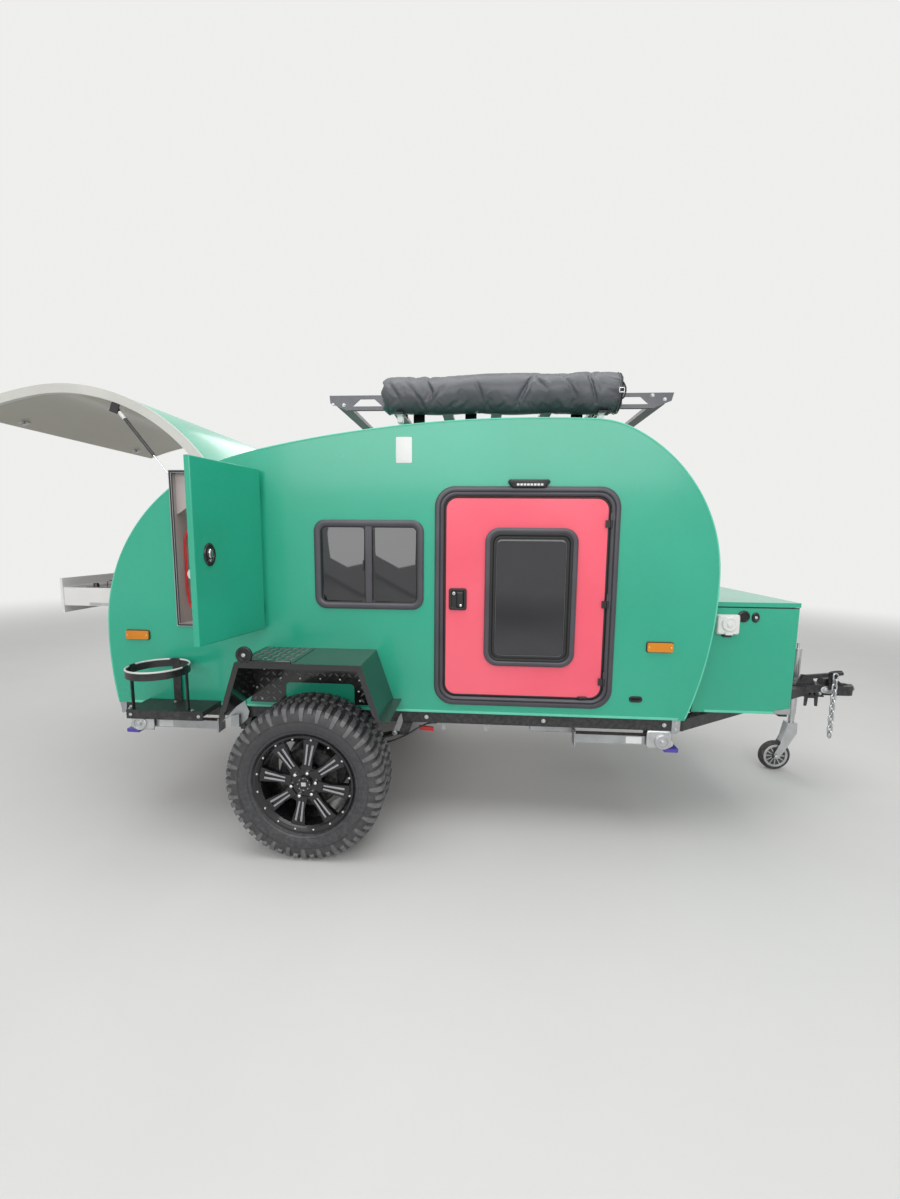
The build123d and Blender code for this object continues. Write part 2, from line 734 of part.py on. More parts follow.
# Hangers under the rails with their pins
with BuildPart() as spring_hangers:
    for hand in (-1, 1):
        for way in (-1, 1):
            pin = way * (spring_half + 4)
            near, far = sorted((hand * (spring_y - 40), hand * (spring_y + 40)))
            block((pin - 42, near, rail_low - 6), (pin + 42, far, rail_low))
            for low_y in (spring_y - 40, spring_y + 34):
                with BuildSketch(side(hand * low_y)):
                    with BuildLine():
                        Polyline(
                            (pin - 42, rail_low - 3),
                            (pin + 42, rail_low - 3),
                            (pin + 20, eye_z - 22),
                            (pin - 20, eye_z - 22),
                            (pin - 42, rail_low - 3),
                        )
                    make_face()
                extrude(amount=-hand * hanger_t)
            with BuildSketch(side(hand * (spring_y - 44))):
                with Locations((pin, eye_z)):
                    Circle(eye_r - 9.4)
            extrude(amount=-hand * 88)
pieces["spring_hangers"] = spring_hangers.part

# Shock absorbers from the axle's rear to studs on the rails
shock_foot = (-76.0, tyre_r)
shock_head = (-290.0, rail_low + 32.0)
with BuildPart() as shock_absorbers:
    for hand in (-1, 1):
        run = shock_head[0] - shock_foot[0]
        rise = shock_head[1] - shock_foot[1]
        length = math.hypot(run, rise)
        base = Plane(
            origin=(axle_x + shock_foot[0], hand * shock_y, ground_z + shock_foot[1]),
            x_dir=(0, 1, 0),
            z_dir=(run / length, 0, rise / length),
        )
        for low, high, radius in ((0, 24, 8), (18, 170, 20), (165, 300, 24), (280, length, 8)):
            with BuildSketch(base.offset(low)):
                Circle(radius)
            extrude(amount=high - low)
        for eye in (shock_foot, shock_head):
            with BuildSketch(side(hand * (shock_y - 12))):
                with Locations(eye):
                    Circle(14)
            extrude(amount=-hand * 24)
        with BuildSketch(side(hand * (shock_y + 10))):
            with Locations(shock_head):
                Circle(7)
        extrude(amount=-hand * (rail_out - rail_w - shock_y - 10))
pieces["shock_absorbers"] = shock_absorbers.part

# Tyres and eight-spoke wheels: section points as distance out from the wheel's middle, radius
tyre_section = (
    (-106.5, 229.0),
    (106.5, 229.0),
    (107.5, 246.0),
    (126.0, 268.0),
    (132.5, 305.0),
    (128.0, 345.0),
    (117.0, 376.0),
    (92.0, 387.5),
    (-92.0, 387.5),
    (-117.0, 376.0),
    (-128.0, 345.0),
    (-132.5, 305.0),
    (-126.0, 268.0),
    (-107.5, 246.0),
)
rim_section = (
    (108.0, 245.0),
    (116.0, rim_lip_r + 2),
    (rim_half_w, 243.0),
    (rim_half_w, 234.0),
    (110.0, 224.0),
    (98.0, 216.0),
    (40.0, 206.0),
    (-90.0, 206.0),
    (-110.0, 219.0),
    (-rim_half_w, 233.0),
    (-rim_half_w, 243.0),
    (-108.0, 245.0),
    (-107.0, 228.5),
    (-70.0, 228.0),
    (-55.0, 215.0),
    (20.0, 215.0),
    (45.0, 227.5),
    (107.0, 228.5),
)
spoke_count = 8
spoke_turn = 10.0
spoke_points = ((-26.0, 66.0), (26.0, 66.0), (21.0, 130.0), (36.0, 219.0), (-36.0, 219.0), (-21.0, 130.0))
groove_points = ((-5.0, 92.0), (5.0, 92.0), (9.0, 196.0), (-9.0, 196.0))


def wheel_axis(hand):
    """The axle line of one wheel."""
    return Axis((axle_x, hand * track_half, ground_z + tyre_r), (0, 1, 0))


def turned(points, degrees):
    """Turn a list of points about the wheel's middle, clockwise from the top."""
    c = math.cos(math.radians(degrees))
    s = math.sin(math.radians(degrees))
    return [(x * c + y * s, tyre_r - x * s + y * c) for x, y in points]


for hand, name in ((-1, "right"), (1, "left")):
    with BuildPart() as tyre:
        with BuildSketch(across(0)):
            with BuildLine():
                Polyline(*[(hand * (track_half + y), tyre_r + r) for y, r in tyre_section], close=True)
            make_face()
        revolve(axis=wheel_axis(hand))
    pieces["tyre_" + name] = tyre.part
    with BuildPart() as rim:
        with BuildSketch(across(0)):
            with BuildLine():
                Polyline(*[(hand * (track_half + y), tyre_r + r) for y, r in rim_section], close=True)
            make_face()
        revolve(axis=wheel_axis(hand))
        for low_y, high_y, radius in ((74, 96, 84), (-92, 80, 62), (-110, -40, 112), (94, 112, 34)):
            with BuildSketch(side(hand * (track_half + low_y))):
                with Locations((0, tyre_r)):
                    Circle(radius)
            extrude(amount=-hand * (high_y - low_y))
        with BuildSketch(side(hand * (track_half + 76))):
            for count in range(spoke_count):
                with BuildLine():
                    Polyline(*turned(spoke_points, spoke_turn + 360.0 / spoke_count * count), close=True)
                make_face()
        extrude(amount=-hand * 26)
        with BuildSketch(side(hand * (track_half + 97))):
            for count in range(spoke_count):
                with BuildLine():
                    Polyline(*turned(groove_points, spoke_turn + 360.0 / spoke_count * count), close=True)
                make_face()
        extrude(amount=-hand * 6, mode=Mode.SUBTRACT)
        with BuildSketch(side(hand * (track_half - 112))):
            with Locations((0, tyre_r)):
                Circle(stub_r + bearing_gap)
        extrude(amount=-hand * (stub_end - track_half + 112 + 4), mode=Mode.SUBTRACT)
    pieces["rim_" + name] = rim.part

# Corner stabilisers: brackets with pins, and four folding legs
with BuildPart() as stabiliser_brackets:
    for name, pivot, hand, way in stabilisers:
        near, far = sorted((hand * (stab_y - 36), hand * (stab_y + 36)))
        block((pivot - 62, near, rail_low - 6), (pivot + 62, far, rail_low))
        for low_y in (stab_y - 36, stab_y + 31):
            with BuildSketch(side(hand * low_y)):
                span(pivot - 62, pivot + 62, stab_z - 36, rail_low - 2, Mode.ADD)
                with Locations((pivot - way * 62, stab_z - 36)):
                    Rectangle(30, 30, rotation=45, mode=Mode.SUBTRACT)
            extrude(amount=-hand * 5)
        with BuildSketch(side(hand * (stab_y - 40))):
            with Locations((pivot, stab_z)):
                Circle(6)
        extrude(amount=-hand * 80)
pieces["stabiliser_brackets"] = stabiliser_brackets.part
for name, pivot, hand, way in stabilisers:
    with BuildPart() as leg:
        with BuildSketch(across(pivot - way * 24)):
            with Locations((hand * stab_y, stab_z)):
                Rectangle(45, 45)
        extrude(amount=way * (stab_len + 24))
        with BuildSketch(across(pivot + way * stab_len)):
            with Locations((hand * stab_y, stab_z)):
                Rectangle(70, 78)
        extrude(amount=way * 6)
        with BuildSketch(side(hand * stab_y + 30)):
            with Locations((pivot, stab_z)):
                Circle(6 + rod_gap)
        extrude(amount=60, mode=Mode.SUBTRACT)
    pieces["stabiliser_" + name] = leg.part

# Toolbox on the drawbar, its lid, and the tray strips under it
with BuildPart() as toolbox:
    with BuildSketch(side(box_half)):
        with BuildLine():
            Polyline(
                (box_x[0], box_z[0]),
                (box_x[2], box_z[0]),
                (box_x[2], box_z[1]),
                (box_x[1], box_z[1]),
                close=True,
            )
        make_face()
    extrude(amount=2 * box_half)
    rim_face = toolbox.faces().sort_by(Axis.Z)[-1]
    offset(amount=-sheet, openings=rim_face, mode=Mode.REPLACE)
    for start in (600, -100):
        with BuildSketch(side(start)):
            with Locations((box_x[1] - 2, box_z[1] + 5)):
                Circle(4)
            span(box_x[1] - 5, box_x[1] + 2, box_z[1] - 8, box_z[1] + 5, Mode.ADD)
        extrude(amount=500)
pieces["toolbox"] = toolbox.part
with BuildPart() as toolbox_lid:
    block((box_x[1] + 4, -box_half - 3, box_z[1] + 5), (box_x[2] + 4, box_half + 3, box_z[2]))
    under = toolbox_lid.faces().sort_by(Axis.Z)[0]
    offset(amount=-sheet, openings=under, mode=Mode.REPLACE)
    with BuildSketch(side(100 - rod_gap)):
        with Locations((box_x[1] - 2, box_z[1] + 5)):
            Circle(4)
        span(box_x[1] - 2, box_x[1] + 5, box_z[1] + 5, box_z[1] + 9, Mode.ADD)
    extrude(amount=200 - 2 * rod_gap)
pieces["toolbox_lid"] = toolbox_lid.part

# Coupling: tip channel, head with the tow pin's bore, brake lever and chain pin
chain_x = 3040.0
chain_y = -76.0
chain_z = 728.0
link_wire = 4.0
link_in = 34.0
link_gap = 0.3
link_count = 12
with BuildPart() as coupling:
    block((2790, -58, body_foot), (2996, 58, body_foot + 8))
    block((2790, -58, rail_low - 8), (2996, 58, rail_low))
    block((beam_tip_x, -46, rail_low), (3010, 46, body_foot))
    with BuildSketch(level(pin_z - pin_bore_l / 2)):
        with Locations((pin_x, 0)):
            Circle(46)
        span(3006, pin_x, -46, 46, Mode.ADD)
    extrude(amount=pin_bore_l)
    with BuildSketch(side(32)):
        with BuildLine():
            Polyline(
                (3000, 652), (3008, 690), (3070, 700), (3128, 652), (3040, 640), close=True
            )
        make_face()
    extrude(amount=64)
    with BuildSketch(level(pin_z - 60)):
        with Locations((pin_x, 0)):
            Circle(pin_bore_r)
    extrude(amount=120, mode=Mode.SUBTRACT)
    with BuildSketch(side(-36)):
        with BuildLine():
            Polyline((2830, 655), (2946, 655), (2920, 716), (2856, 722), close=True)
        make_face()
    extrude(amount=8)
    with BuildSketch(side(-30)):
        with BuildLine():
            Polyline((2850, 690), (2870, 716), (3104, 742), (3106, 724), (2880, 690), close=True)
        make_face()
    extrude(amount=20)
    with BuildSketch(side(-46)):
        with BuildLine():
            Polyline(
                (2884, 648),
                (2964, 648),
                (2964, 520),
                (2950, 520),
                (2944, 572),
                (2904, 572),
                (2898, 520),
                (2884, 520),
                close=True,
            )
        make_face()
    extrude(amount=8)
    with BuildSketch(side(-46)):
        with Locations((chain_x, chain_z)):
            Circle(link_in / 2 - 11)
    extrude(amount=44)
    with BuildSketch(side(-46)):
        span(chain_x - 22, chain_x + 22, 630, chain_z + 14, Mode.ADD)
    extrude(amount=10)
pieces["coupling"] = coupling.part

# Clamp on the coupling's side: a split ring round the jockey tube with its bolt and T-bar
clamp_r = jockey_tube_r + 9
with BuildPart() as jockey_clamp:
    block(
        (jockey_x - 22, 46, jockey_clamp_z[0] + 8),
        (jockey_x + 22, jockey_y - jockey_tube_r - 4, jockey_clamp_z[1] - 8),
    )
    with BuildSketch(level(jockey_clamp_z[0])):
        with Locations((jockey_x, jockey_y)):
            Circle(clamp_r)
        with Locations((jockey_x, jockey_y + clamp_r + 8)):
            Rectangle(26, 26)
    extrude(amount=jockey_clamp_z[1] - jockey_clamp_z[0])
    with BuildSketch(level(jockey_clamp_z[0] - 1)):
        with Locations((jockey_x, jockey_y)):
            Circle(jockey_tube_r + rod_gap)
        with Locations((jockey_x, jockey_y + clamp_r + 8)):
            Rectangle(4, 40)
    extrude(amount=jockey_clamp_z[1] - jockey_clamp_z[0] + 2, mode=Mode.SUBTRACT)
    with BuildSketch(across(jockey_x - 13)):
        with Locations((jockey_y + clamp_r + 12, (jockey_clamp_z[0] + jockey_clamp_z[1]) / 2)):
            Circle(5)
    extrude(amount=56)
    with BuildSketch(across(jockey_x + 40)):
        with Locations((jockey_y + clamp_r + 12, (jockey_clamp_z[0] + jockey_clamp_z[1]) / 2)):
            Rectangle(9, 64)
    extrude(amount=9)
pieces["jockey_clamp"] = jockey_clamp.part

# Safety chain hanging from its pin, each link turned a quarter from the last
with BuildPart() as safety_chain:
    top_z = chain_z + (link_in / 2 - 11) + link_gap - link_in / 2
    for count in range(link_count):
        mid_z = top_z - count * (link_in - link_gap)
        flat = count % 2 == 0
        frame = Plane(
            origin=(axle_x + chain_x, chain_y, ground_z + mid_z),
            x_dir=(1, 0, 0) if flat else (0, 1, 0),
            z_dir=(0, -1, 0) if flat else (1, 0, 0),
        )
        straight = link_in / 2 - 7
        with BuildLine(frame) as loop:
            right = Line((7 + link_wire, -straight), (7 + link_wire, straight))
            over = ThreePointArc(right @ 1, (0, straight + 7 + link_wire), (-7 - link_wire, straight))
            left = Line(over @ 1, (-7 - link_wire, -straight))
            ThreePointArc(left @ 1, (0, -straight - 7 - link_wire), right @ 0)
        with BuildSketch(Plane(origin=right @ 0, z_dir=right % 0)):
            Circle(link_wire)
        sweep(path=loop.line)
pieces["safety_chain"] = safety_chain.part

# Jockey stand: outer tube with its crank, swivelling fork and wheel
with BuildPart() as jockey_tube:
    with BuildSketch(level(jockey_foot_z)):
        with Locations((jockey_x, jockey_y)):
            Circle(jockey_tube_r)
    extrude(amount=jockey_head_z - jockey_foot_z)
    with BuildSketch(level(jockey_foot_z - 5)):
        with Locations((jockey_x, jockey_y)):
            Circle(jockey_leg_r + rod_gap)
    extrude(amount=jockey_head_z - jockey_foot_z - 35, mode=Mode.SUBTRACT)
    with BuildSketch(level(jockey_head_z)):
        with Locations((jockey_x, jockey_y)):
            Circle(jockey_tube_r + 3)
            Circle(9)
    extrude(amount=10)
    with BuildSketch(level(jockey_head_z + 10)):
        with Locations((jockey_x, jockey_y)):
            Circle(9)
    extrude(amount=36)
    head = jockey_head_z + 36
    block((jockey_x - 9, jockey_y, head), (jockey_x + 9, jockey_y + 110, head + 10))
    with BuildSketch(level(head + 2)):
        with Locations((jockey_x, jockey_y + 100)):
            Circle(11)
    extrude(amount=90)
pieces["jockey_tube"] = jockey_tube.part
fork_points = (
    (jockey_x - 30, 340),
    (jockey_x + 26, 340),
    (jockey_x + 30, 270),
    (jockey_x - 70, 86),
    (jockey_x - 104, 84),
    (jockey_x - 106, 114),
    (jockey_x - 50, 240),
)
with BuildPart() as jockey_fork:
    with BuildSketch(level(330)):
        with Locations((jockey_x, jockey_y)):
            Circle(jockey_leg_r)
    extrude(amount=300)
    block((jockey_x - 30, jockey_y - 27.5, 332), (jockey_x + 26, jockey_y + 27.5, 340))
    for low_y in (jockey_y - 27.5, jockey_y + 31.5):
        with BuildSketch(side(low_y)):
            with BuildLine():
                Polyline(*fork_points, close=True)
            make_face()
        extrude(amount=4)
    with BuildSketch(side(jockey_y + 36)):
        with Locations((jockey_x - jockey_trail, jockey_r)):
            Circle(7)
    extrude(amount=72)
pieces["jockey_fork"] = jockey_fork.part
jockey_axis = Axis((axle_x + jockey_x - jockey_trail, jockey_y, ground_z + jockey_r), (0, 1, 0))
jockey_section = (
    (-26.5, 7.3),
    (26.5, 7.3),
    (26.5, 20.0),
    (14.0, 24.0),
    (14.0, 62.0),
    (22.0, 68.0),
    (22.0, 86.0),
    (14.0, 98.0),
    (6.0, 100.0),
    (-6.0, 100.0),
    (-14.0, 98.0),
    (-22.0, 86.0),
    (-22.0, 68.0),
    (-14.0, 62.0),
    (-14.0, 24.0),
    (-26.5, 20.0),
)
with BuildPart() as jockey_wheel:
    with BuildSketch(across(jockey_x - jockey_trail)):
        with BuildLine():
            Polyline(*[(jockey_y + y, jockey_r + r) for y, r in jockey_section], close=True)
        make_face()
    revolve(axis=jockey_axis)
pieces["jockey_wheel"] = jockey_wheel.part

# Roof rack: side plates with cut-outs, feet down to the roof and the awning's brackets
with BuildPart() as roof_rack:
    for hand in (-1, 1):
        with BuildSketch(side(hand * rack_half)):
            with BuildLine():
                Polyline(
                    (rack_x[0], rack_top),
                    (rack_x[1], rack_top),
                    (rack_x[1] - 10, rack_top - 40),
                    (rack_x[1] - 110, rack_low),
                    (rack_x[0] + 100, rack_low),
                    (rack_x[0] + 4, rack_top - 40),
                    close=True,
                )
            make_face()
            for low_x in (rack_x[0] + 125, rack_x[1] - 285):
                with BuildLine():
                    Polyline(
                        (low_x, rack_low + 24),
                        (low_x + 160, rack_low + 24),
                        (low_x + 118, rack_top - 20),
                        (low_x + 42, rack_top - 20),
                        close=True,
                    )
                make_face(mode=Mode.SUBTRACT)
        extrude(amount=hand * plate)
    for hand in (-1, 1):
        for step in (1.5, 2.5, 4.5):
            foot_x = rack_x[0] + 70 + step * slat_pitch
            near, far = sorted((hand * (rack_half - plate), hand * (rack_half - plate - 5)))
            block((foot_x - 30, near, 2040), (foot_x + 30, far, rack_low + 66))
            near, far = sorted((hand * (rack_half - plate), hand * (rack_half - plate - 60)))
            block((foot_x - 30, near, 2040), (foot_x + 30, far, 2138))
    with BuildSketch(side(rack_half)):
        add(outline(0))
    extrude(amount=2 * rack_half, mode=Mode.SUBTRACT)
    for x in (400.0, 1400.0):
        block((x - 20, -rack_half - 5, bag_z - bag_r - 5.4), (x + 20, -rack_half, rack_top - 6))
        block((x - 20, -bag_y - 60, bag_z - bag_r - 5.4), (x + 20, -rack_half, bag_z - bag_r - 0.4))
pieces["roof_rack"] = roof_rack.part

# Slats across the rack
with BuildPart() as rack_slats:
    for step in range(7):
        x = rack_x[0] + 70 + step * slat_pitch
        block((x - 30, plate - rack_half, rack_low + 24), (x + 30, rack_half - plate, rack_low + 44))
pieces["rack_slats"] = rack_slats.part

# Awning in its bag
with BuildPart() as awning_bag:
    with BuildSketch(across(bag_x[0])):
        with Locations((-bag_y, bag_z)):
            Circle(bag_r)
    extrude(amount=bag_x[1] - bag_x[0])
    fillet(awning_bag.edges().filter_by(GeomType.CIRCLE), radius=22)
pieces["awning_bag"] = awning_bag.part

# Lamps
with BuildPart() as marker_lamps:
    for hand in (-1, 1):
        for low_x in (-1064.0, 1656.0):
            with BuildSketch(side(hand * body_half)):
                rounded((low_x, low_x + 125, 1004, 1050), 0, 8, Mode.ADD)
            extrude(amount=-hand * 13)
pieces["marker_lamps"] = marker_lamps.part
with BuildPart() as tail_lamps:
    for hand in (-1, 1):
        near, far = sorted((hand * 440, hand * 660))
        block((rail_rear - 22, near, cross_low), (rail_rear, far, cross_low + 46))
pieces["tail_lamps"] = tail_lamps.part

# Brake cables: route points forward, out from the rail and up, from the rail's clip to the backing plate
cable_route = (
    (604.0, -24.0, 581.0),
    (556.0, -21.0, 580.0),
    (508.0, 9.0, 564.0),
    (450.0, 28.0, 530.0),
    (375.0, 39.0, 498.0),
    (295.0, 32.0, 474.0),
    (232.0, 10.0, 455.0),
    (182.0, -18.0, 438.0),
    (124.0, -40.0, 424.0),
    (gland[0], -15.0, gland[1]),
    (gland[0], 57.0, gland[1]),
)


def cable_edges(route):
    """Straight runs joined by tangent arcs as large as the shorter run allows."""
    points = [Vector(*point) for point in route]
    start = points[0]
    radii = []
    for before, corner, after in zip(points, points[1:], points[2:]):
        back = (before - corner).normalized()
        ahead = (after - corner).normalized()
        turn = math.pi - math.radians(back.get_angle(ahead))
        reach = 0.45 * min((before - corner).length, (after - corner).length)
        radius = reach / math.tan(turn / 2)
        radii.append(round(radius))
        middle = (back + ahead).normalized()
        centre = corner + middle * (radius / math.cos(turn / 2))
        Line(start, corner + back * reach)
        ThreePointArc(corner + back * reach, centre - middle * radius, corner + ahead * reach)
        start = corner + ahead * reach
    Line(start, points[-1])
    print("cable radii", radii)


with BuildPart() as brake_cables:
    for hand in (-1, 1):
        route = [(axle_x + x, hand * (rail_out + y), ground_z + z) for x, y, z in cable_route]
        with BuildLine() as cable:
            cable_edges(route)
        with BuildSketch(Plane(origin=route[0], z_dir=Vector(*route[1]) - Vector(*route[0]))):
            Circle(cable_r)
        sweep(path=cable.line)
pieces["brake_cables"] = brake_cables.part

# Shower hose in the right hatch: route points forward, out from the liner and up, outlet to hand piece
hose_r = 6.0
hose_route = (
    (-592.0, 34.0, 1566.0),
    (-640.0, 34.0, 1620.0),
    (-715.0, 38.0, 1610.0),
    (-748.0, 43.0, 1530.0),
    (-744.0, 48.0, 1400.0),
    (-750.0, 52.0, 1270.0),
    (-738.0, 56.0, 1170.0),
    (-668.0, 62.0, 1108.0),
    (-590.0, 68.0, 1130.0),
    (-560.0, 74.0, 1210.0),
    (-618.0, 79.0, 1268.0),
)
hose_points = [Vector(axle_x + x, -liner_in - y, ground_z + z) for x, y, z in hose_route]
with BuildPart() as shower_hose:
    with BuildLine() as hose:
        cable_edges(hose_points)
    with BuildSketch(Plane(origin=hose_points[0], z_dir=hose_points[1] - hose_points[0])):
        Circle(hose_r)
    sweep(path=hose.line)
pieces["shower_hose"] = shower_hose.part
outlet_way = (hose_points[0] - hose_points[1]).normalized()
grip_way = (hose_points[-1] - hose_points[-2]).normalized()
grip_l = 120.0
post_x = hose_route[-1][0] + grip_way.X * grip_l / 2
post_z = hose_route[-1][2] + grip_way.Z * grip_l / 2
liner_face = liner_in + liner_t
with BuildPart() as shower_head:
    with BuildSketch(Plane(origin=hose_points[0], z_dir=outlet_way)):
        Circle(hose_r + 3)
    extrude(amount=24)
    elbow = hose_points[0] + outlet_way * 16
    with BuildSketch(side(-liner_face)):
        with Locations((elbow.X - axle_x, elbow.Z - ground_z)):
            Circle(hose_r + 5)
    extrude(amount=-elbow.Y - liner_face)
    with BuildSketch(Plane(origin=hose_points[-1], z_dir=grip_way)):
        Circle(11)
    extrude(amount=grip_l)
    disc = hose_points[-1] + grip_way * grip_l
    with BuildSketch(side(disc.Y + 8)):
        with Locations((disc.X - axle_x, disc.Z - ground_z)):
            Circle(30)
    extrude(amount=24)
    with BuildSketch(side(-liner_face)):
        with Locations((post_x, post_z)):
            Circle(7)
    extrude(amount=hose_route[-1][1] - liner_t)
pieces["shower_head"] = shower_head.part

# Export
for label, part in pieces.items():
    part.label = label
    export_step(part, "parts/" + label + ".step")
print(len(pieces), "pieces")
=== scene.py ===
"""The looks of a teardrop camping trailer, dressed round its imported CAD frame."""

import logging
import math
from dataclasses import dataclass
from enum import Enum
from functools import lru_cache, partialmethod
from typing import Any, Iterable, Optional, Sequence, Union

import bmesh
import bpy
import numpy as np
from mathutils import Matrix


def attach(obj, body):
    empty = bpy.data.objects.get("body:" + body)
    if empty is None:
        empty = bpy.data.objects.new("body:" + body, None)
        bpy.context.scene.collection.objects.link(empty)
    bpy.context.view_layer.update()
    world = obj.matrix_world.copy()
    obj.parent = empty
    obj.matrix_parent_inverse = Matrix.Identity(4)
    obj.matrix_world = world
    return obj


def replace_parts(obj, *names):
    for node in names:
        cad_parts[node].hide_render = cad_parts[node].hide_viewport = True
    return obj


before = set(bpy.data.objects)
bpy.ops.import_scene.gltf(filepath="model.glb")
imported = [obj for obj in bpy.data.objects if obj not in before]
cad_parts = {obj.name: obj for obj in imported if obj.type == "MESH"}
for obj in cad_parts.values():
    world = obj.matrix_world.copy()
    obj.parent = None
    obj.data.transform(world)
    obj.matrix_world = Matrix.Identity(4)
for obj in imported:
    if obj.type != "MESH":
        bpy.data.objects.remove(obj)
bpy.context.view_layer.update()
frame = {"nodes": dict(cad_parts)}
log = logging.getLogger("trailer")

Array = np.ndarray
Colour = tuple[float, float, float]
Point = tuple[float, float, float]
Pair = tuple[float, float]
Pairs = Sequence[Pair]
Box = tuple[float, float, float, float]

# Places below are metres forward of the axle, left of the centre line and up from the ground.
FRAME_SHIFT = np.array((-3.15, 0.0, -0.62))
BODY_HALF = 0.750
HANDS = (-1, 1)
SIDES = (("right", -1), ("left", 1))
OUTLINE_START = (1.8466, 0.6029)
OUTLINE_HEADING = 68.4
OUTLINE_ARCS = (
    (1.959, 23.58), (0.803, 60.65), (0.456, 24.84), (6.612, 14.13), (2.224, 7.21), (0.939, 68.40), (1.927, 14.53),
)
OUTLINE_FOOT = 0.652
LID_HINGE = (-0.582, 1.908)
LID_OPEN = 78.5
CHEQUER_PITCH = 0.034
WELD = 2e-6


def mm(*values: float, wide: int = 2) -> Any:
    """Rows of so many numbers each, given in thousandths: millimetres as metres, or milliradians as radians."""
    return tuple(zip(*[iter(value / 1000 for value in values)] * wide))


def around(count: int) -> Array:
    """Even angles round a circle, from 0."""
    return np.linspace(0, 2 * math.pi, count, endpoint=False)


def about(a: float, b: float, half_a: float, half_b: float) -> Box:
    """A box about a middle, with its half sizes."""
    return a - half_a, a + half_a, b - half_b, b + half_b


def circle(angle: Array) -> Array:
    """The cosine and sine of each angle, side by side."""
    return np.stack((np.cos(angle), np.sin(angle)), -1)


def rgb(red: int, green: int, blue: int) -> Colour:
    """A screen colour as the linear colour that shaders take.

    Args:
        red: Red, 0 to 255.
        green: Green, 0 to 255.
        blue: Blue, 0 to 255.

    Returns:
        The linear red, green and blue.
    """
    share = (np.array((red, green, blue)) / 255.0).clip(0, 1)
    linear = np.where(share <= 0.04045, share / 12.92, ((share + 0.055) / 1.055) ** 2.4)
    return tuple(float(value) for value in linear)


# ---------------------------------------------------------------- surfaces


@dataclass(frozen=True)
class Datum:
    """A plane to work on: its zero point and its rightward, upward and outward directions."""

    origin: Point
    right: Point
    up: Point
    out: Point

    def at(self, a: Any, b: Any, h: Any) -> Array:
        """Points origin + a·right + b·up + h·out, for arrays that broadcast together.

        Args:
            a: How far right.
            b: How far up.
            h: How far out.

        Returns:
            The points, with x, y and z last.
        """
        a, b, h = np.broadcast_arrays(np.asarray(a, float), b, h)
        spread = (a[..., None] * self.right, b[..., None] * self.up, h[..., None] * self.out)
        return np.asarray(self.origin) + sum(spread)


def flank(hand: int, y: float = BODY_HALF) -> Datum:
    """The upright plane along one side, seen with forward to the right."""
    return Datum((0.0, hand * y, 0.0), (1, 0, 0), (0, 0, 1), (0, hand, 0))


def deck(z: float, way: int = 1) -> Datum:
    """A level plane: forward, left, and up or down."""
    return Datum((0.0, 0.0, z), (1, 0, 0), (0, 1, 0), (0, 0, way))


def endwise(x: float, way: int) -> Datum:
    """An upright plane across the trailer: left, up, and forward or back."""
    return Datum((x, 0.0, 0.0), (0, 1, 0), (0, 0, 1), (way, 0, 0))


def unit(vectors: Array) -> Array:
    """Vectors divided by their lengths."""
    return vectors / np.maximum(np.linalg.norm(vectors, axis=-1, keepdims=True), 1e-12)


def rounded_loop(box: Box, inset: float, corner: float, steps: int = 8) -> Array:
    """A rounded rectangle as four quarter circles joined by straight edges.

    Args:
        box: Low and high across, low and high up.
        inset: How far the loop lies inside the box.
        corner: Radius of its corners.
        steps: Points on each corner.

    Returns:
        (4 * steps, 2) points, each a corner's centre plus radius times (cosine, sine).
    """
    low, high = np.array((box[0], box[2])), np.array((box[1], box[3]))
    radius = max(corner, 1e-4)
    signs = np.array(((1, 1), (-1, 1), (-1, -1), (1, -1)))
    centres = (low + high) / 2 + signs * ((high - low) / 2 - inset - radius)
    angles = np.arange(4)[:, None] * math.pi / 2 + np.linspace(0, math.pi / 2, steps)
    return (centres[:, None] + radius * circle(angles)).reshape(-1, 2)


def outline(inset: float = 0.0, pitch: float = 0.03) -> tuple[Array, Array]:
    """The body's side outline from the front foot over the roof to the rear foot.

    Each arc's points are its centre plus its radius times (cosine, sine) of an even row of angles, and
    the next arc starts where it ends with the same heading.

    Args:
        inset: How far the line lies inside the outline.
        pitch: Distance between points.

    Returns:
        Points forward and up, and the outward direction at each.
    """
    heading = math.radians(OUTLINE_HEADING)
    point = np.array(OUTLINE_START) + inset * np.array((-math.sin(heading), math.cos(heading)))
    rows, outs = [], []
    for radius, degrees in OUTLINE_ARCS:
        sweep = math.radians(degrees)
        centre = point + (radius - inset) * np.array((-math.sin(heading), math.cos(heading)))
        count = max(3, round(radius * sweep / pitch))
        angles = heading - math.pi / 2 + np.linspace(0, sweep, count, endpoint=False)
        out = circle(angles)
        rows.append(centre + (radius - inset) * out)
        outs.append(out)
        heading += sweep
        point = centre + (radius - inset) * np.array((math.sin(heading), -math.cos(heading)))
    return np.concatenate(rows), np.concatenate(outs)


def flowing(points: Sequence[Sequence[float]], steps: int = 8) -> Array:
    """A smooth line through points: between two of them it is the Catmull-Rom cubic of the four around.

    Args:
        points: What it runs through.
        steps: Points on each stretch between two of them.

    Returns:
        The line's points, the last one included.
    """
    p = np.asarray(points, float)
    padded = np.concatenate((2 * p[:1] - p[1:2], p, 2 * p[-1:] - p[-2:-1]))
    t = np.linspace(0, 1, steps, endpoint=False)[None, :, None]
    a, b, c, d = (padded[k : len(p) - 1 + k, None] for k in range(4))
    curve = 0.5 * (2 * b + (c - a) * t + (2 * a - 5 * b + 4 * c - d) * t**2 + (3 * b - a - 3 * c + d) * t**3)
    return np.concatenate((curve.reshape(-1, p.shape[1]), p[-1:]))


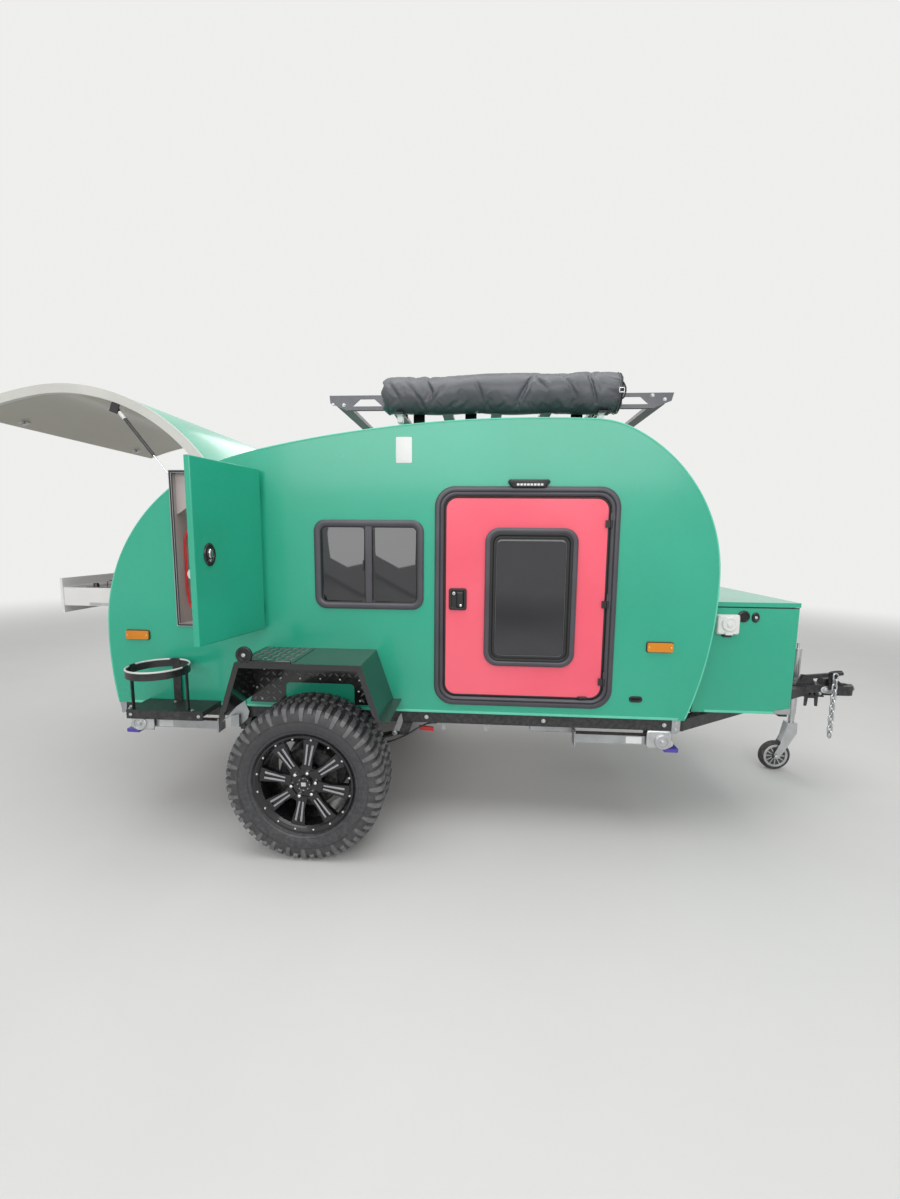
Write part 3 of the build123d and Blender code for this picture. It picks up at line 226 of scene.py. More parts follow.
def stand(name: str, data: bpy.types.ID, *columns: Any) -> bpy.types.Object:
    """Put data into the scene as an object.

    Args:
        name: The object's name.
        data: What it shows, such as a mesh or a lamp.
        columns: Its x, y and z directions and its place.

    Returns:
        The object.
    """
    thing = bpy.data.objects.new(name, data)
    matrix = np.eye(4)
    matrix[:3] = np.stack(columns, -1)
    thing.matrix_world = Matrix(matrix.tolist())
    bpy.context.scene.collection.objects.link(thing)
    return thing


class Shell:
    """Gathers grids of points into one mesh."""

    def __init__(self) -> None:
        """Start empty."""
        self.points: list[Array] = []
        self.faces: list[list[int]] = []
        self.count = 0

    def stamp(self, copies: Array, ring: bool = False) -> "Shell":
        """Skin many like grids of points at once with quads; the last column joins the first.

        Args:
            copies: (copies, rows, columns, 3) points.
            ring: The last row joins the first, where else a face closes each of them.

        Returns:
            The shell itself.
        """
        n, rows, cols = copies.shape[:3]
        index = np.arange(n * rows * cols).reshape(n, rows, cols) + self.count
        if not ring:
            self.faces += index[:, 0, ::-1].tolist() + index[:, -1].tolist()
        index = np.concatenate((index, index[:, :, :1]), 2)
        if ring:
            index = np.concatenate((index, index[:, :1]), 1)
        corners = (index[:, :-1, :-1], index[:, 1:, :-1], index[:, 1:, 1:], index[:, :-1, 1:])
        self.faces += np.stack(corners, -1).reshape(-1, 4).tolist()
        self.points.append(copies.reshape(-1, 3))
        self.count += n * rows * cols
        return self

    def grid(self, points: Array, ring: bool = False) -> "Shell":
        """Skin one grid of points; see stamp."""
        return self.stamp(points[None], ring)

    def raised(
        self, datum: Datum, box: Box, corner: float, profile: Pairs,
        ring: bool = False, steps: int = 8,
    ) -> "Shell":
        """A rounded rectangle that rises off a plane; a row of the grid is the loop at one inset and height.

        Args:
            datum: The plane it stands on.
            box: Low and high across, low and high up.
            corner: Its corner radius at no inset, which shrinks by 0.8 of each inset.
            profile: Pairs of inset and height, from its foot to its top.
            ring: The profile is a closed section of a frame, so its last row joins the first.
            steps: Points on each corner.

        Returns:
            The shell itself.
        """
        loops = [rounded_loop(box, inset, corner - 0.8 * inset, steps) for inset, _ in profile]
        rows = [datum.at(loop[:, 0], loop[:, 1], height) for loop, (_, height) in zip(loops, profile)]
        return self.grid(np.stack(rows), ring)

    def plate(self, datum: Datum, corners: Pairs, low: float, high: float) -> "Shell":
        """A flat plate with a many-cornered outline, between two heights off a plane."""
        spots = np.array(corners)
        return self.grid(np.stack([datum.at(spots[:, 0], spots[:, 1], height) for height in (low, high)]))

    def block(self, datum: Datum, box: Box, low: float, high: float, soft: float = 0.001) -> "Shell":
        """A rectangular block off a plane, with its top edges taken off."""
        rows = ((0.0, low), (0.0, high - soft), (soft, high))
        return self.raised(datum, box, 0.0012, rows, steps=2)

    def turned(
        self, datum: Datum, centre: Pair, profile: Pairs,
        sides: int = 28, ring: bool = False, squeeze: Pair = (1.0, 1.0),
    ) -> "Shell":
        """A turned shape: at each height a circle of points about the centre, (cosine, sine) times a radius.

        Args:
            datum: The plane it stands on.
            centre: Its middle on that plane.
            profile: Pairs of height and radius.
            sides: Points round the circle.
            ring: The profile is a closed section.
            squeeze: Factors across and up that make the circle an ellipse.

        Returns:
            The shell itself.
        """
        section = np.asarray(profile, float)
        angle = around(sides)
        across = centre[0] + section[:, 1:] * np.cos(angle) * squeeze[0]
        upward = centre[1] + section[:, 1:] * np.sin(angle) * squeeze[1]
        return self.grid(datum.at(across, upward, section[:, :1]), ring)

    def carried(self, path: Array, side: Any, out: Any, profile: Pairs, loop: bool = False) -> "Shell":
        """A closed section carried along a path: each point is path + u·side + v·out.

        Args:
            path: (n, 3) points.
            side: One direction, or one for each point, for the section's first number.
            out: The same for its second number.
            profile: (m, 2) section points.
            loop: The path's end joins its start.

        Returns:
            The shell itself.
        """
        section = np.asarray(profile, float)
        side, out = (np.broadcast_to(np.asarray(v, float), path.shape)[:, None] for v in (side, out))
        grid = path[:, None] + section[None, :, :1] * side + section[None, :, 1:] * out
        return self.grid(grid, loop)

    def tube(self, path: Any, radius: Any, sides: int = 10, level: Point = (0.0, 1.0, 0.0)) -> "Shell":
        """A round rod: a circle about each point of a path, square to the path's heading there.

        Args:
            path: (n, 3) points.
            radius: One radius, or one for each point.
            sides: Points round the rod.
            level: A direction that the path never takes.

        Returns:
            The shell itself.
        """
        p = np.asarray(path, float)
        ahead = unit(np.gradient(p, axis=0))
        first = unit(np.cross(level, ahead))
        second = np.cross(ahead, first)
        angle = around(sides)[None, :, None]
        reach = np.broadcast_to(np.asarray(radius, float), len(p))[:, None, None]
        ring = first[:, None] * np.cos(angle) + second[:, None] * np.sin(angle)
        return self.grid(p[:, None] + reach * ring)

    def heads(self, datum: Datum, places: Iterable[Pair], radius: float = 0.006,
              height: float = 0.005, sides: int = 6, washer: float = 1.45) -> "Shell":
        """Bolt heads on washers at places of a plane.

        Args:
            datum: The plane they stand on.
            places: Their middles on that plane.
            radius: Radius of a head.
            height: Height of a head.
            sides: Corners of a head.
            washer: The washer's radius as a multiple of the head's, or 0 for none.

        Returns:
            The shell itself.
        """
        for place in places:
            if washer:
                self.turned(datum, place, ((0, washer * radius), (0.0012, washer * radius)), 16)
            rows = ((0.0, radius), (height * 0.8, radius), (height, radius * 0.82))
            self.turned(datum, place, rows, sides)
        return self

    def spin(self, degrees: float, through: Point, axis: Point) -> "Shell":
        """Turn everything so far about a line, by the cosine, sine and cross-product rule.

        Args:
            degrees: How far.
            through: A point of the line.
            axis: The line's direction, of length 1.

        Returns:
            The shell itself.
        """
        angle, n = math.radians(degrees), np.asarray(axis, float)
        turned = []
        for block in self.points:
            v = block - np.asarray(through)
            along = (v @ n)[:, None] * n
            flat = (v - along) * math.cos(angle) + np.cross(n, v) * math.sin(angle)
            turned.append(flat + along + np.asarray(through))
        self.points = turned
        return self

    def make(self, name: str, finish: "Finish", body: str = "chassis", slot: str = "",
             smooth: float = 32.0) -> bpy.types.Object:
        """Close the mesh, dress it and hang it on a body.

        Args:
            name: The piece's name.
            finish: What it is painted with.
            body: The CAD body that it rides on.
            slot: The record's material slot, where it isn't the finish's own; not used.
            smooth: Edges sharper than this angle stay sharp, in degrees.

        Returns:
            The object.
        """
        mesh = bpy.data.meshes.new(name)
        mesh.from_pydata((np.concatenate(self.points) + FRAME_SHIFT).tolist(), [], self.faces)
        work = bmesh.new()
        work.from_mesh(mesh)
        bmesh.ops.remove_doubles(work, verts=work.verts, dist=WELD)
        bmesh.ops.recalc_face_normals(work, faces=work.faces)
        work.to_mesh(mesh)
        work.free()
        mesh.shade_smooth()
        mesh.set_sharp_from_angle(angle=math.radians(smooth))
        mesh.materials.append(finish.material())
        piece = stand(name, mesh, *np.eye(3), (0, 0, 0))
        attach(piece, body)
        slot or finish.slot
        log.info("%s: %d faces on %s", name, len(mesh.polygons), body)
        return piece


# ---------------------------------------------------------------- finishes


class Signal:
    """A shader value that takes part in Python arithmetic; each operator adds one Math node."""

    def __init__(self, paint: "Paint", socket: bpy.types.NodeSocket) -> None:
        """Wrap an output socket of a paint's node tree."""
        self.paint = paint
        self.socket = socket

    def math(self, operation: str, other: Any = 0.0, last: bool = False) -> "Signal":
        """One Math node on this value and another, or on the other and this as the last."""
        first, second = (other, self) if last else (self, other)
        return self.paint.node("Math", {0: first, 1: second}, operation=operation)

    __add__ = partialmethod(math, "ADD")
    __radd__ = partialmethod(math, "ADD", last=True)
    __sub__ = partialmethod(math, "SUBTRACT")
    __rsub__ = partialmethod(math, "SUBTRACT", last=True)
    __mul__ = partialmethod(math, "MULTIPLY")
    __rmul__ = partialmethod(math, "MULTIPLY", last=True)
    __gt__ = partialmethod(math, "GREATER_THAN")
    __abs__ = partialmethod(math, "ABSOLUTE")
    __pow__ = partialmethod(math, "POWER")
    either = partialmethod(math, "MAXIMUM")

    def fade(self, low: float, high: float) -> "Signal":
        """0 at low and 1 at high, by a smooth step."""
        sockets = {"Value": self, "From Min": low, "From Max": high}
        return self.paint.node("MapRange", sockets, interpolation_type="SMOOTHSTEP")


class Paint:
    """The node tree of one material or world under construction."""

    def __init__(self, owner: Union[bpy.types.Material, bpy.types.World]) -> None:
        """Start with an empty tree.

        Args:
            owner: The material or world that it paints.
        """
        self.owner = owner
        owner.use_nodes = True
        self.tree = owner.node_tree
        self.tree.nodes.clear()

    def node(self, kind: str, sockets: Optional[dict[Any, Any]] = None, output: Any = 0, **settings: str) -> Signal:
        """Add a node.

        Args:
            kind: The node's type, without its prefix.
            sockets: Values or signals for its inputs.
            output: Which of its outputs is wanted.
            settings: Its properties, set first.

        Returns:
            That output.
        """
        made = self.tree.nodes.new("ShaderNode" + kind)
        for key, value in settings.items():
            setattr(made, key, value)
        for key, value in (sockets or {}).items():
            if isinstance(value, Signal):
                self.tree.links.new(value.socket, made.inputs[key])
            else:
                made.inputs[key].default_value = value
        return Signal(self, made.outputs[output])

    def place(self, kind: str = "Object") -> Signal:
        """The point being shaded, in the piece's own coordinates, or its normal."""
        return self.node("TexCoord", output=kind)

    def axes(self, vector: Signal) -> tuple[Signal, Signal, Signal]:
        """A vector's three parts."""
        return tuple(self.node("SeparateXYZ", {0: vector}, k) for k in range(3))

    def noise(self, pitch: float, detail: float = 3.0, stretch: Optional[Point] = None) -> Signal:
        """Cloudy noise.

        Args:
            pitch: Width of its patches, in metres.
            detail: Layers of finer noise.
            stretch: Factors that the place is multiplied by first, if any.

        Returns:
            Its value, 0 to 1.
        """
        where = self.place()
        if stretch:
            where = self.node("Mapping", {"Vector": where, "Scale": stretch})
        return self.node("TexNoise", {"Vector": where, "Scale": 1.0 / pitch, "Detail": detail, "Roughness": 0.55})

    def blend(self, share: Any, first: Any, second: Any) -> Signal:
        """The first colour where share is 0 and the second where it is 1."""
        first, second = ((*c, 1.0) if isinstance(c, tuple) else c for c in (first, second))
        return self.node("Mix", {0: share, 6: first, 7: second}, 2, data_type="RGBA")

    def relief(self, height: Signal, metres: float) -> Signal:
        """A bump of a height signal that is worth so many metres."""
        return self.node("Bump", {"Height": height, "Distance": metres, "Strength": 1.0})

    def close(self, shader: Signal) -> Any:
        """Link a shader to the output.

        Args:
            shader: The finished shader.

        Returns:
            The material or world.
        """
        kind = "World" if isinstance(self.owner, bpy.types.World) else "Material"
        made = self.tree.nodes.new("ShaderNodeOutput" + kind)
        self.tree.links.new(shader.socket, made.inputs["Surface"])
        return self.owner


class Grain(Enum):
    """The relief of a surface at small scale."""

    PEEL = "sprayed or rolled gloss with a faint ripple"
    SAND = "fine powder coat"
    BRUSH = "lines drawn along the trailer"
    CRYSTAL = "zinc crystals"
    HIDE = "moulded or embossed leather grain"
    PRISM = "lens ribs"


PEEL, SAND, BRUSH, CRYSTAL, HIDE, PRISM = Grain
BRUSH_STRETCH = (0.03, 1.0, 1.0)
DUST = rgb(150, 146, 140)
DUST_HEIGHTS = (-0.62, 0.25)
DUST_ROUGH = 0.4
CRYSTAL_DRIFT = 0.22
FACING_OUT = 0.12
LINING_ROUGH = 0.3
IRON_BLACK = rgb(22, 22, 24)


@dataclass(frozen=True)
class Finish:
    """A surface finish; colour and tone are mixed by slow noise, and grain gives the relief.

    The slot names the record's material slot for its pieces; nothing here gives it to them.
    """

    name: str
    colour: Colour
    tone: Colour
    rough: float
    metal: float = 0.0
    coat: float = 0.0
    grain: Grain = SAND
    pitch: float = 0.0015
    relief: float = 0.00003
    patch: float = 0.25
    dust: float = 0.0
    coat_rough: float = 0.04
    slot: str = "galvanised"

    def height(self, paint: Paint) -> Signal:
        """The relief's height signal, from 0 to 1.

        Args:
            paint: The node tree to add to.

        Returns:
            The signal.
        """
        if self.grain is BRUSH:
            return paint.noise(self.pitch, 2.0, BRUSH_STRETCH)
        if self.grain in (SAND, PEEL):
            return paint.noise(self.pitch, 2.0)
        sockets = {"Vector": paint.place(), "Scale": (0.5 if self.grain is PRISM else 1.0) / self.pitch}
        if self.grain is CRYSTAL:
            return paint.axes(paint.node("TexVoronoi", sockets, "Color"))[0]
        if self.grain is HIDE:
            return paint.node("TexVoronoi", sockets, feature="SMOOTH_F1") + 0.5 * paint.noise(self.pitch * 0.5)
        return paint.node("TexWave", sockets, 1, bands_direction="X")

    def tint(self, paint: Paint) -> Any:
        """The colour before dust, mixed by patches and a little by the grain."""
        patches = paint.noise(self.patch, 4.0).fade(0.3, 0.7)
        return paint.blend(patches, self.colour, self.tone)

    def roughness(self, paint: Paint) -> Any:
        """The roughness, which drifts by a tenth."""
        return paint.noise(self.patch * 0.3, 3.0) * 0.2 * self.rough + 0.9 * self.rough

    def build(self) -> bpy.types.Material:
        """Make the material.

        Returns:
            It, with its node tree closed.
        """
        paint = Paint(bpy.data.materials.new(self.name))
        colour, rough = self.tint(paint), self.roughness(paint)
        height = self.height(paint)
        if self.grain is CRYSTAL:
            rough = rough + (height - 0.5) * CRYSTAL_DRIFT
        if self.dust:
            z = paint.axes(paint.place())[2]
            speckle = paint.noise(0.02, 5.0).fade(0.35, 0.75)
            low = 1.0 - z.fade(*DUST_HEIGHTS)
            dirt = self.dust * (0.25 + low) * speckle
            colour = paint.blend(dirt, colour, DUST)
            rough = rough + dirt * DUST_ROUGH
        sockets: dict[str, Any] = {
            "Base Color": colour, "Roughness": rough, "Metallic": self.metal,
            "Normal": paint.relief(height, self.relief),
        }
        if self.coat:
            sockets |= {"Coat Weight": self.coat, "Coat Roughness": self.coat_rough}
        return paint.close(paint.node("BsdfPrincipled", sockets))

    @lru_cache(maxsize=None)
    def material(self) -> bpy.types.Material:
        """The finish's one material."""
        return self.build()


@dataclass(frozen=True)
class PanelFinish(Finish):
    """A sandwich panel: colour on its outer skin, and a lining on its inner face and its edges."""

    lining: Colour = (0.7, 0.7, 0.7)
    middle: Pair = (-2.75, 0.75)
    skin_y: float = 9.0

    def outer(self, paint: Paint) -> Signal:
        """1 on faces that look away from the panel's middle line or lie beyond skin_y.

        Args:
            paint: The node tree to add to.

        Returns:
            The signal, 0 elsewhere.
        """
        x, y, z = paint.axes(paint.place())
        nx, _, nz = paint.axes(paint.place("Normal"))
        away = nx * (x - self.middle[0]) + nz * (z - self.middle[1])
        return (away > FACING_OUT).either(abs(y) > self.skin_y)

    def tint(self, paint: Paint) -> Any:
        """The skin's colour outside and the lining's inside."""
        return paint.blend(self.outer(paint), self.lining, super().tint(paint))

    def roughness(self, paint: Paint) -> Any:
        """Gloss outside and satin inside."""
        return super().roughness(paint) + (1.0 - self.outer(paint)) * LINING_ROUGH


@dataclass(frozen=True)
class PartedFinish(Finish):
    """A part with black ironwork past some limits: hinge leaves on a door, or the bars between the rack's plates; below
    a height it is painted black as painted shade, on the rack's legs.
    """

    iron_and_shade: Colour = (0.01, 0.01, 0.01)
    edge_x: float = 9.0
    face_y: float = 9.0
    core_y: float = -9.0
    # Below this height the second colour is painted shade, not ironwork.
    shade_below_z: float = -9.0

    def tint(self, paint: Paint) -> Any:
        """Its second colour where x or the size of y is past its limit, or the size of y or z is under its own; under
        the z limit that colour is painted shade.

        Args:
            paint: The node tree to add to.

        Returns:
            The colour's signal.
        """
        x, y, z = paint.axes(paint.place())
        iron_and_shade = (x > self.edge_x).either(abs(y) > self.face_y)
        # The z limit adds painted shade, the rack's legs painted black, to the ironwork mask.
        iron_and_shade = iron_and_shade.either(self.core_y - abs(y) > 0.0).either(self.shade_below_z - z > 0.0)
        return paint.blend(iron_and_shade, super().tint(paint), self.iron_and_shade)


@dataclass(frozen=True)
class LidFinish(PanelFinish):
    """The rear lid's panel with black lugs for its struts."""

    lug: Pair = (0.0, 0.0)
    lug_r: float = 0.036
    lug_y: float = 0.6875

    def tint(self, paint: Paint) -> Any:
        """Black near the struts' upper pins, beyond lug_y.

        Args:
            paint: The node tree to add to.

        Returns:
            The colour's signal.
        """
        x, y, z = paint.axes(paint.place())
        reach = (x - self.lug[0]) ** 2.0 + (z - self.lug[1]) ** 2.0
        near = (abs(y) > self.lug_y) * (1.0 - (reach > self.lug_r**2))
        return paint.blend(near, super().tint(paint), IRON_BLACK)


@dataclass(frozen=True)
class HubFinish(Finish):
    """A turned part in two finishes that meet at a radius about a line across the trailer."""

    inner: Colour = (0.6, 0.6, 0.6)
    inner_rough: float = 0.3
    axis: Pair = (0.0, 0.0)
    radius: float = 0.1
    blur: float = 0.0005

    def inside(self, paint: Paint) -> Signal:
        """1 inside the radius.

        Args:
            paint: The node tree to add to.

        Returns:
            The signal, 0 outside.
        """
        x, _, z = paint.axes(paint.place())
        reach = (x - self.axis[0]) ** 2.0 + (z - self.axis[1]) ** 2.0
        return 1.0 - reach.fade((self.radius - self.blur) ** 2, (self.radius + self.blur) ** 2)

    def tint(self, paint: Paint) -> Any:
        """The inner colour inside the radius."""
        return paint.blend(self.inside(paint), super().tint(paint), self.inner)

    def roughness(self, paint: Paint) -> Any:
        """The inner roughness inside the radius."""
        drift = super().roughness(paint)
        return drift + self.inside(paint) * (self.inner_rough - self.rough)


GREEN = rgb(34, 159, 128)
GREEN_TONE = rgb(40, 166, 135)
# The body's middle as seen from the lid, turned about the hinge with it.
LID_COS, LID_SIN = math.cos(math.radians(LID_OPEN)), math.sin(math.radians(LID_OPEN))
LID_MIDDLE = (
    FRAME_SHIFT[0] + LID_HINGE[0] + 0.982 * LID_COS - 0.538 * LID_SIN,
    FRAME_SHIFT[2] + LID_HINGE[1] - 0.982 * LID_SIN - 0.538 * LID_COS,
)


class Look:
    """The trailer's finishes."""

    body = PanelFinish(
        "emerald_panel", GREEN, GREEN_TONE, 0.26, coat=0.35, grain=PEEL, pitch=0.05, relief=0.00012, patch=0.8,
        dust=0.06, coat_rough=0.12, lining=rgb(210, 208, 202), skin_y=0.7485,
    )
    # The lid's lining is painted darker than the walls' lining: painted shade for the underside of the raised lid.
    lid = LidFinish(
        "emerald_lid", GREEN, GREEN_TONE, 0.26, coat=0.35, grain=PEEL, pitch=0.05, relief=0.00012, patch=0.8,
        coat_rough=0.12, lining=rgb(175, 172, 160), lug=(-4.221, 1.580), middle=LID_MIDDLE,
    )
    green = Finish(
        "emerald_gloss", GREEN, GREEN_TONE, 0.24, coat=0.35, grain=PEEL, pitch=0.05, relief=0.0001, patch=0.8,
        dust=0.06, coat_rough=0.1,
    )
    # Paler than the body green: on the edge beads a painted highlight along the outline, on the foot strips the colour
    # of their pale angle.
    bead = Finish(
        "emerald_edge", rgb(96, 200, 170), rgb(84, 190, 160), 0.25, coat=0.3, grain=PEEL, pitch=0.02,
        slot="body_paint",
    )
    coral = PartedFinish(
        "coral_panel", rgb(236, 86, 108), rgb(242, 97, 116), 0.22, coat=0.4, grain=PEEL, pitch=0.05, relief=0.0001,
        patch=0.6, coat_rough=0.08, iron_and_shade=rgb(20, 20, 22), edge_x=1.4425 + FRAME_SHIFT[0], face_y=0.7526,
    )
    graphite = Finish(
        "graphite_frame", rgb(70, 69, 75), rgb(78, 77, 83), 0.38, metal=0.3, pitch=0.0012, slot="frame_aluminium",
    )
    hatch_frame = PartedFinish(
        "hatch_frame", rgb(70, 69, 75), rgb(78, 77, 83), 0.38, pitch=0.0012, iron_and_shade=rgb(176, 164, 162), core_y=0.7465,
    )
    pane_edge = Finish(
        "pane_edge", rgb(122, 124, 128), rgb(108, 110, 114), 0.25, coat=0.4, pitch=0.002, slot="frame_aluminium",
    )
    silver_edge = Finish(
        "silver_edge", rgb(196, 198, 200), rgb(180, 182, 184), 0.3, metal=0.9, grain=BRUSH, slot="frame_aluminium",
    )
    powder = Finish(
        "black_powder", rgb(26, 27, 29), rgb(33, 34, 36), 0.42, pitch=0.0014, relief=0.00006, dust=0.25,
        slot="chassis_paint",
    )
    gloss_black = Finish(
        "black_gloss", rgb(20, 22, 23), rgb(25, 27, 28), 0.2, coat=0.4, pitch=0.012, relief=0.00005, dust=0.12,
        grain=PEEL, slot="liner",
    )
    zinc = Finish(
        "galvanised", rgb(176, 179, 180), rgb(160, 163, 165), 0.42, metal=0.85, grain=CRYSTAL, pitch=0.011,
        relief=0.00002, patch=0.1, dust=0.1,
    )
    bright_zinc = Finish(
        "bright_zinc", rgb(205, 207, 208), rgb(188, 190, 192), 0.3, metal=0.9, grain=BRUSH, pitch=0.004,
        relief=0.00002, patch=0.06,
    )
    chrome = Finish("chrome", rgb(225, 226, 228), rgb(210, 212, 215), 0.1, metal=1.0, pitch=0.01, relief=0.00001)
    milled = Finish(
        "milled_alloy", rgb(176, 176, 180), rgb(160, 160, 165), 0.3, metal=0.9, grain=BRUSH, pitch=0.0008,
        relief=0.00001, slot="alloy",
    )
    alloy = Finish("black_alloy", rgb(22, 22, 24), rgb(28, 28, 30), 0.27, metal=0.2, coat=0.35, pitch=0.003)
    rubber = HubFinish(
        "tyre_rubber", rgb(50, 50, 52), rgb(62, 62, 64), 0.5, pitch=0.0016, relief=0.00008, patch=0.06, dust=0.12,
        inner=rgb(52, 53, 56), inner_rough=0.36, axis=(-3.15, -0.2325), radius=0.300, blur=0.012, slot="tyre",
    )
    lug = Finish(
        "tread_rubber", rgb(86, 86, 88), rgb(100, 100, 102), 0.46, pitch=0.0016, relief=0.00008, patch=0.04,
        dust=0.15, slot="tyre",
    )
    seal = Finish("black_seal", rgb(17, 17, 18), rgb(24, 24, 25), 0.55, pitch=0.001, slot="liner")
    plastic = Finish("black_plastic", rgb(24, 24, 26), rgb(30, 30, 32), 0.36, grain=HIDE, pitch=0.0012, slot="liner")
    pane = Finish(
        "tinted_pane", rgb(30, 31, 34), rgb(36, 37, 40), 0.05, coat=0.6, grain=PEEL, pitch=0.25, relief=0.0006,
        slot="glass",
    )
    white = Finish(
        "white_plastic", rgb(224, 225, 224), rgb(215, 216, 214), 0.3, grain=HIDE, pitch=0.001, slot="lid_lining",
    )
    trim_white = Finish(
        "white_trim", rgb(196, 196, 190), rgb(187, 187, 181), 0.3, pitch=0.02, grain=PEEL, slot="lid_lining",
    )
    laminate = Finish(
        "white_laminate", rgb(220, 219, 217), rgb(211, 210, 208), 0.42, pitch=0.0025, relief=0.00004, patch=0.4,
    )
    liner = Finish("grey_liner", rgb(190, 178, 176), rgb(176, 164, 162), 0.5, grain=HIDE, pitch=0.004)
    floor = Finish("ply_floor", rgb(96, 76, 55), rgb(80, 62, 45), 0.6, grain=BRUSH, pitch=0.01, relief=0.0001)
    hose = Finish("red_hose", rgb(226, 38, 40), rgb(212, 30, 34), 0.28, coat=0.2, pitch=0.003, slot="hose_red")
    amber = Finish(
        "amber_lens", rgb(222, 138, 6), rgb(208, 124, 5), 0.3, coat=0.15, grain=PRISM, pitch=0.006, relief=0.0006,
    )
    red = Finish(
        "red_lens", rgb(190, 18, 22), rgb(174, 14, 18), 0.16, coat=0.6, grain=PRISM, pitch=0.006, relief=0.0006,
        slot="red_lens",
    )
    # The rack's legs below z 1.609 are painted black as painted shade; the bars between its plates are black ironwork.
    rack = PartedFinish(
        "grey_plate", rgb(90, 91, 95), rgb(80, 81, 85), 0.36, metal=0.5, pitch=0.002, patch=0.15, core_y=0.519,
        shade_below_z=1.609,
    )
    # Tread bars painted lighter grey than their black plate: a painted highlight on the raised bars, with dust besides.
    painted_highlight_bar = Finish(
        "painted_highlight_bar", rgb(92, 92, 94), rgb(108, 108, 110), 0.26, coat=0.3, pitch=0.004, patch=0.05, dust=0.1,
        slot="tread_plate",
    )
    vinyl = Finish(
        "black_vinyl", rgb(68, 71, 76), rgb(79, 82, 87), 0.4, grain=HIDE, pitch=0.0012, relief=0.00012, patch=0.12,
        dust=0.05, slot="awning_vinyl",
    )
    violet = Finish("violet_cap", rgb(84, 72, 176), rgb(72, 62, 160), 0.4, pitch=0.002, slot="liner")
    paper = Finish(
        "blank_label", rgb(220, 222, 220), rgb(210, 212, 210), 0.5, pitch=0.001, relief=0.00002, slot="lid_lining",
    )
    jockey = HubFinish(
        "jockey_rubber", rgb(28, 28, 29), rgb(36, 36, 37), 0.6, pitch=0.002, dust=0.2, inner=rgb(56, 57, 59),
        inner_rough=0.5, axis=(-0.3, -0.52), radius=0.078,
    )
    rope = Finish(
        "pale_band", rgb(212, 212, 210), rgb(190, 190, 188), 0.45, grain=HIDE, pitch=0.003, slot="lid_lining",
    )


def dress(finish: Finish, *nodes: str) -> None:
    """Give CAD nodes their material.

    Args:
        finish: What they are painted with.
        nodes: Their names.
    """
    for node in nodes:
        mesh = frame["nodes"][node].data
        mesh.materials.clear()
        mesh.materials.append(finish.material())
        log.info("%s: CAD node in %s", node, finish.name)


def shells(count: int) -> list[Shell]:
    """So many empty shells."""
    return [Shell() for _ in range(count)]


# An oval paddle latch that sinks in from its rim: heights and shares of its radii.
LATCH_ROWS = ((-0.0005, 1.0), (0.004, 1.0), (0.0065, 0.93), (0.0075, 0.80), (0.0068, 0.66), (0.004, 0.58), (0.004, 0.0))


def latch(bezel: Shell, lever: Shell, side: Datum, place: Pair = (0, 0), foot: float = -0.0005) -> None:
    """A wide paddle latch and the lever in its middle.

    Args:
        bezel: Gathers the latch.
        lever: Gathers the lever.
        side: The plane they stand on.
        place: Their middle on that plane.
        foot: The height where the latch starts.
    """
    bezel.turned(side, place, ((foot, 1.0), *LATCH_ROWS[1:]), 36, squeeze=(0.041, 0.027))
    rows = ((0.003, 1.0), (0.008, 1.0), (0.0105, 0.85), (0.0115, 0.0))
    lever.turned(side, place, rows, 24, squeeze=(0.019, 0.0095))


# ---------------------------------------------------------------- the studio


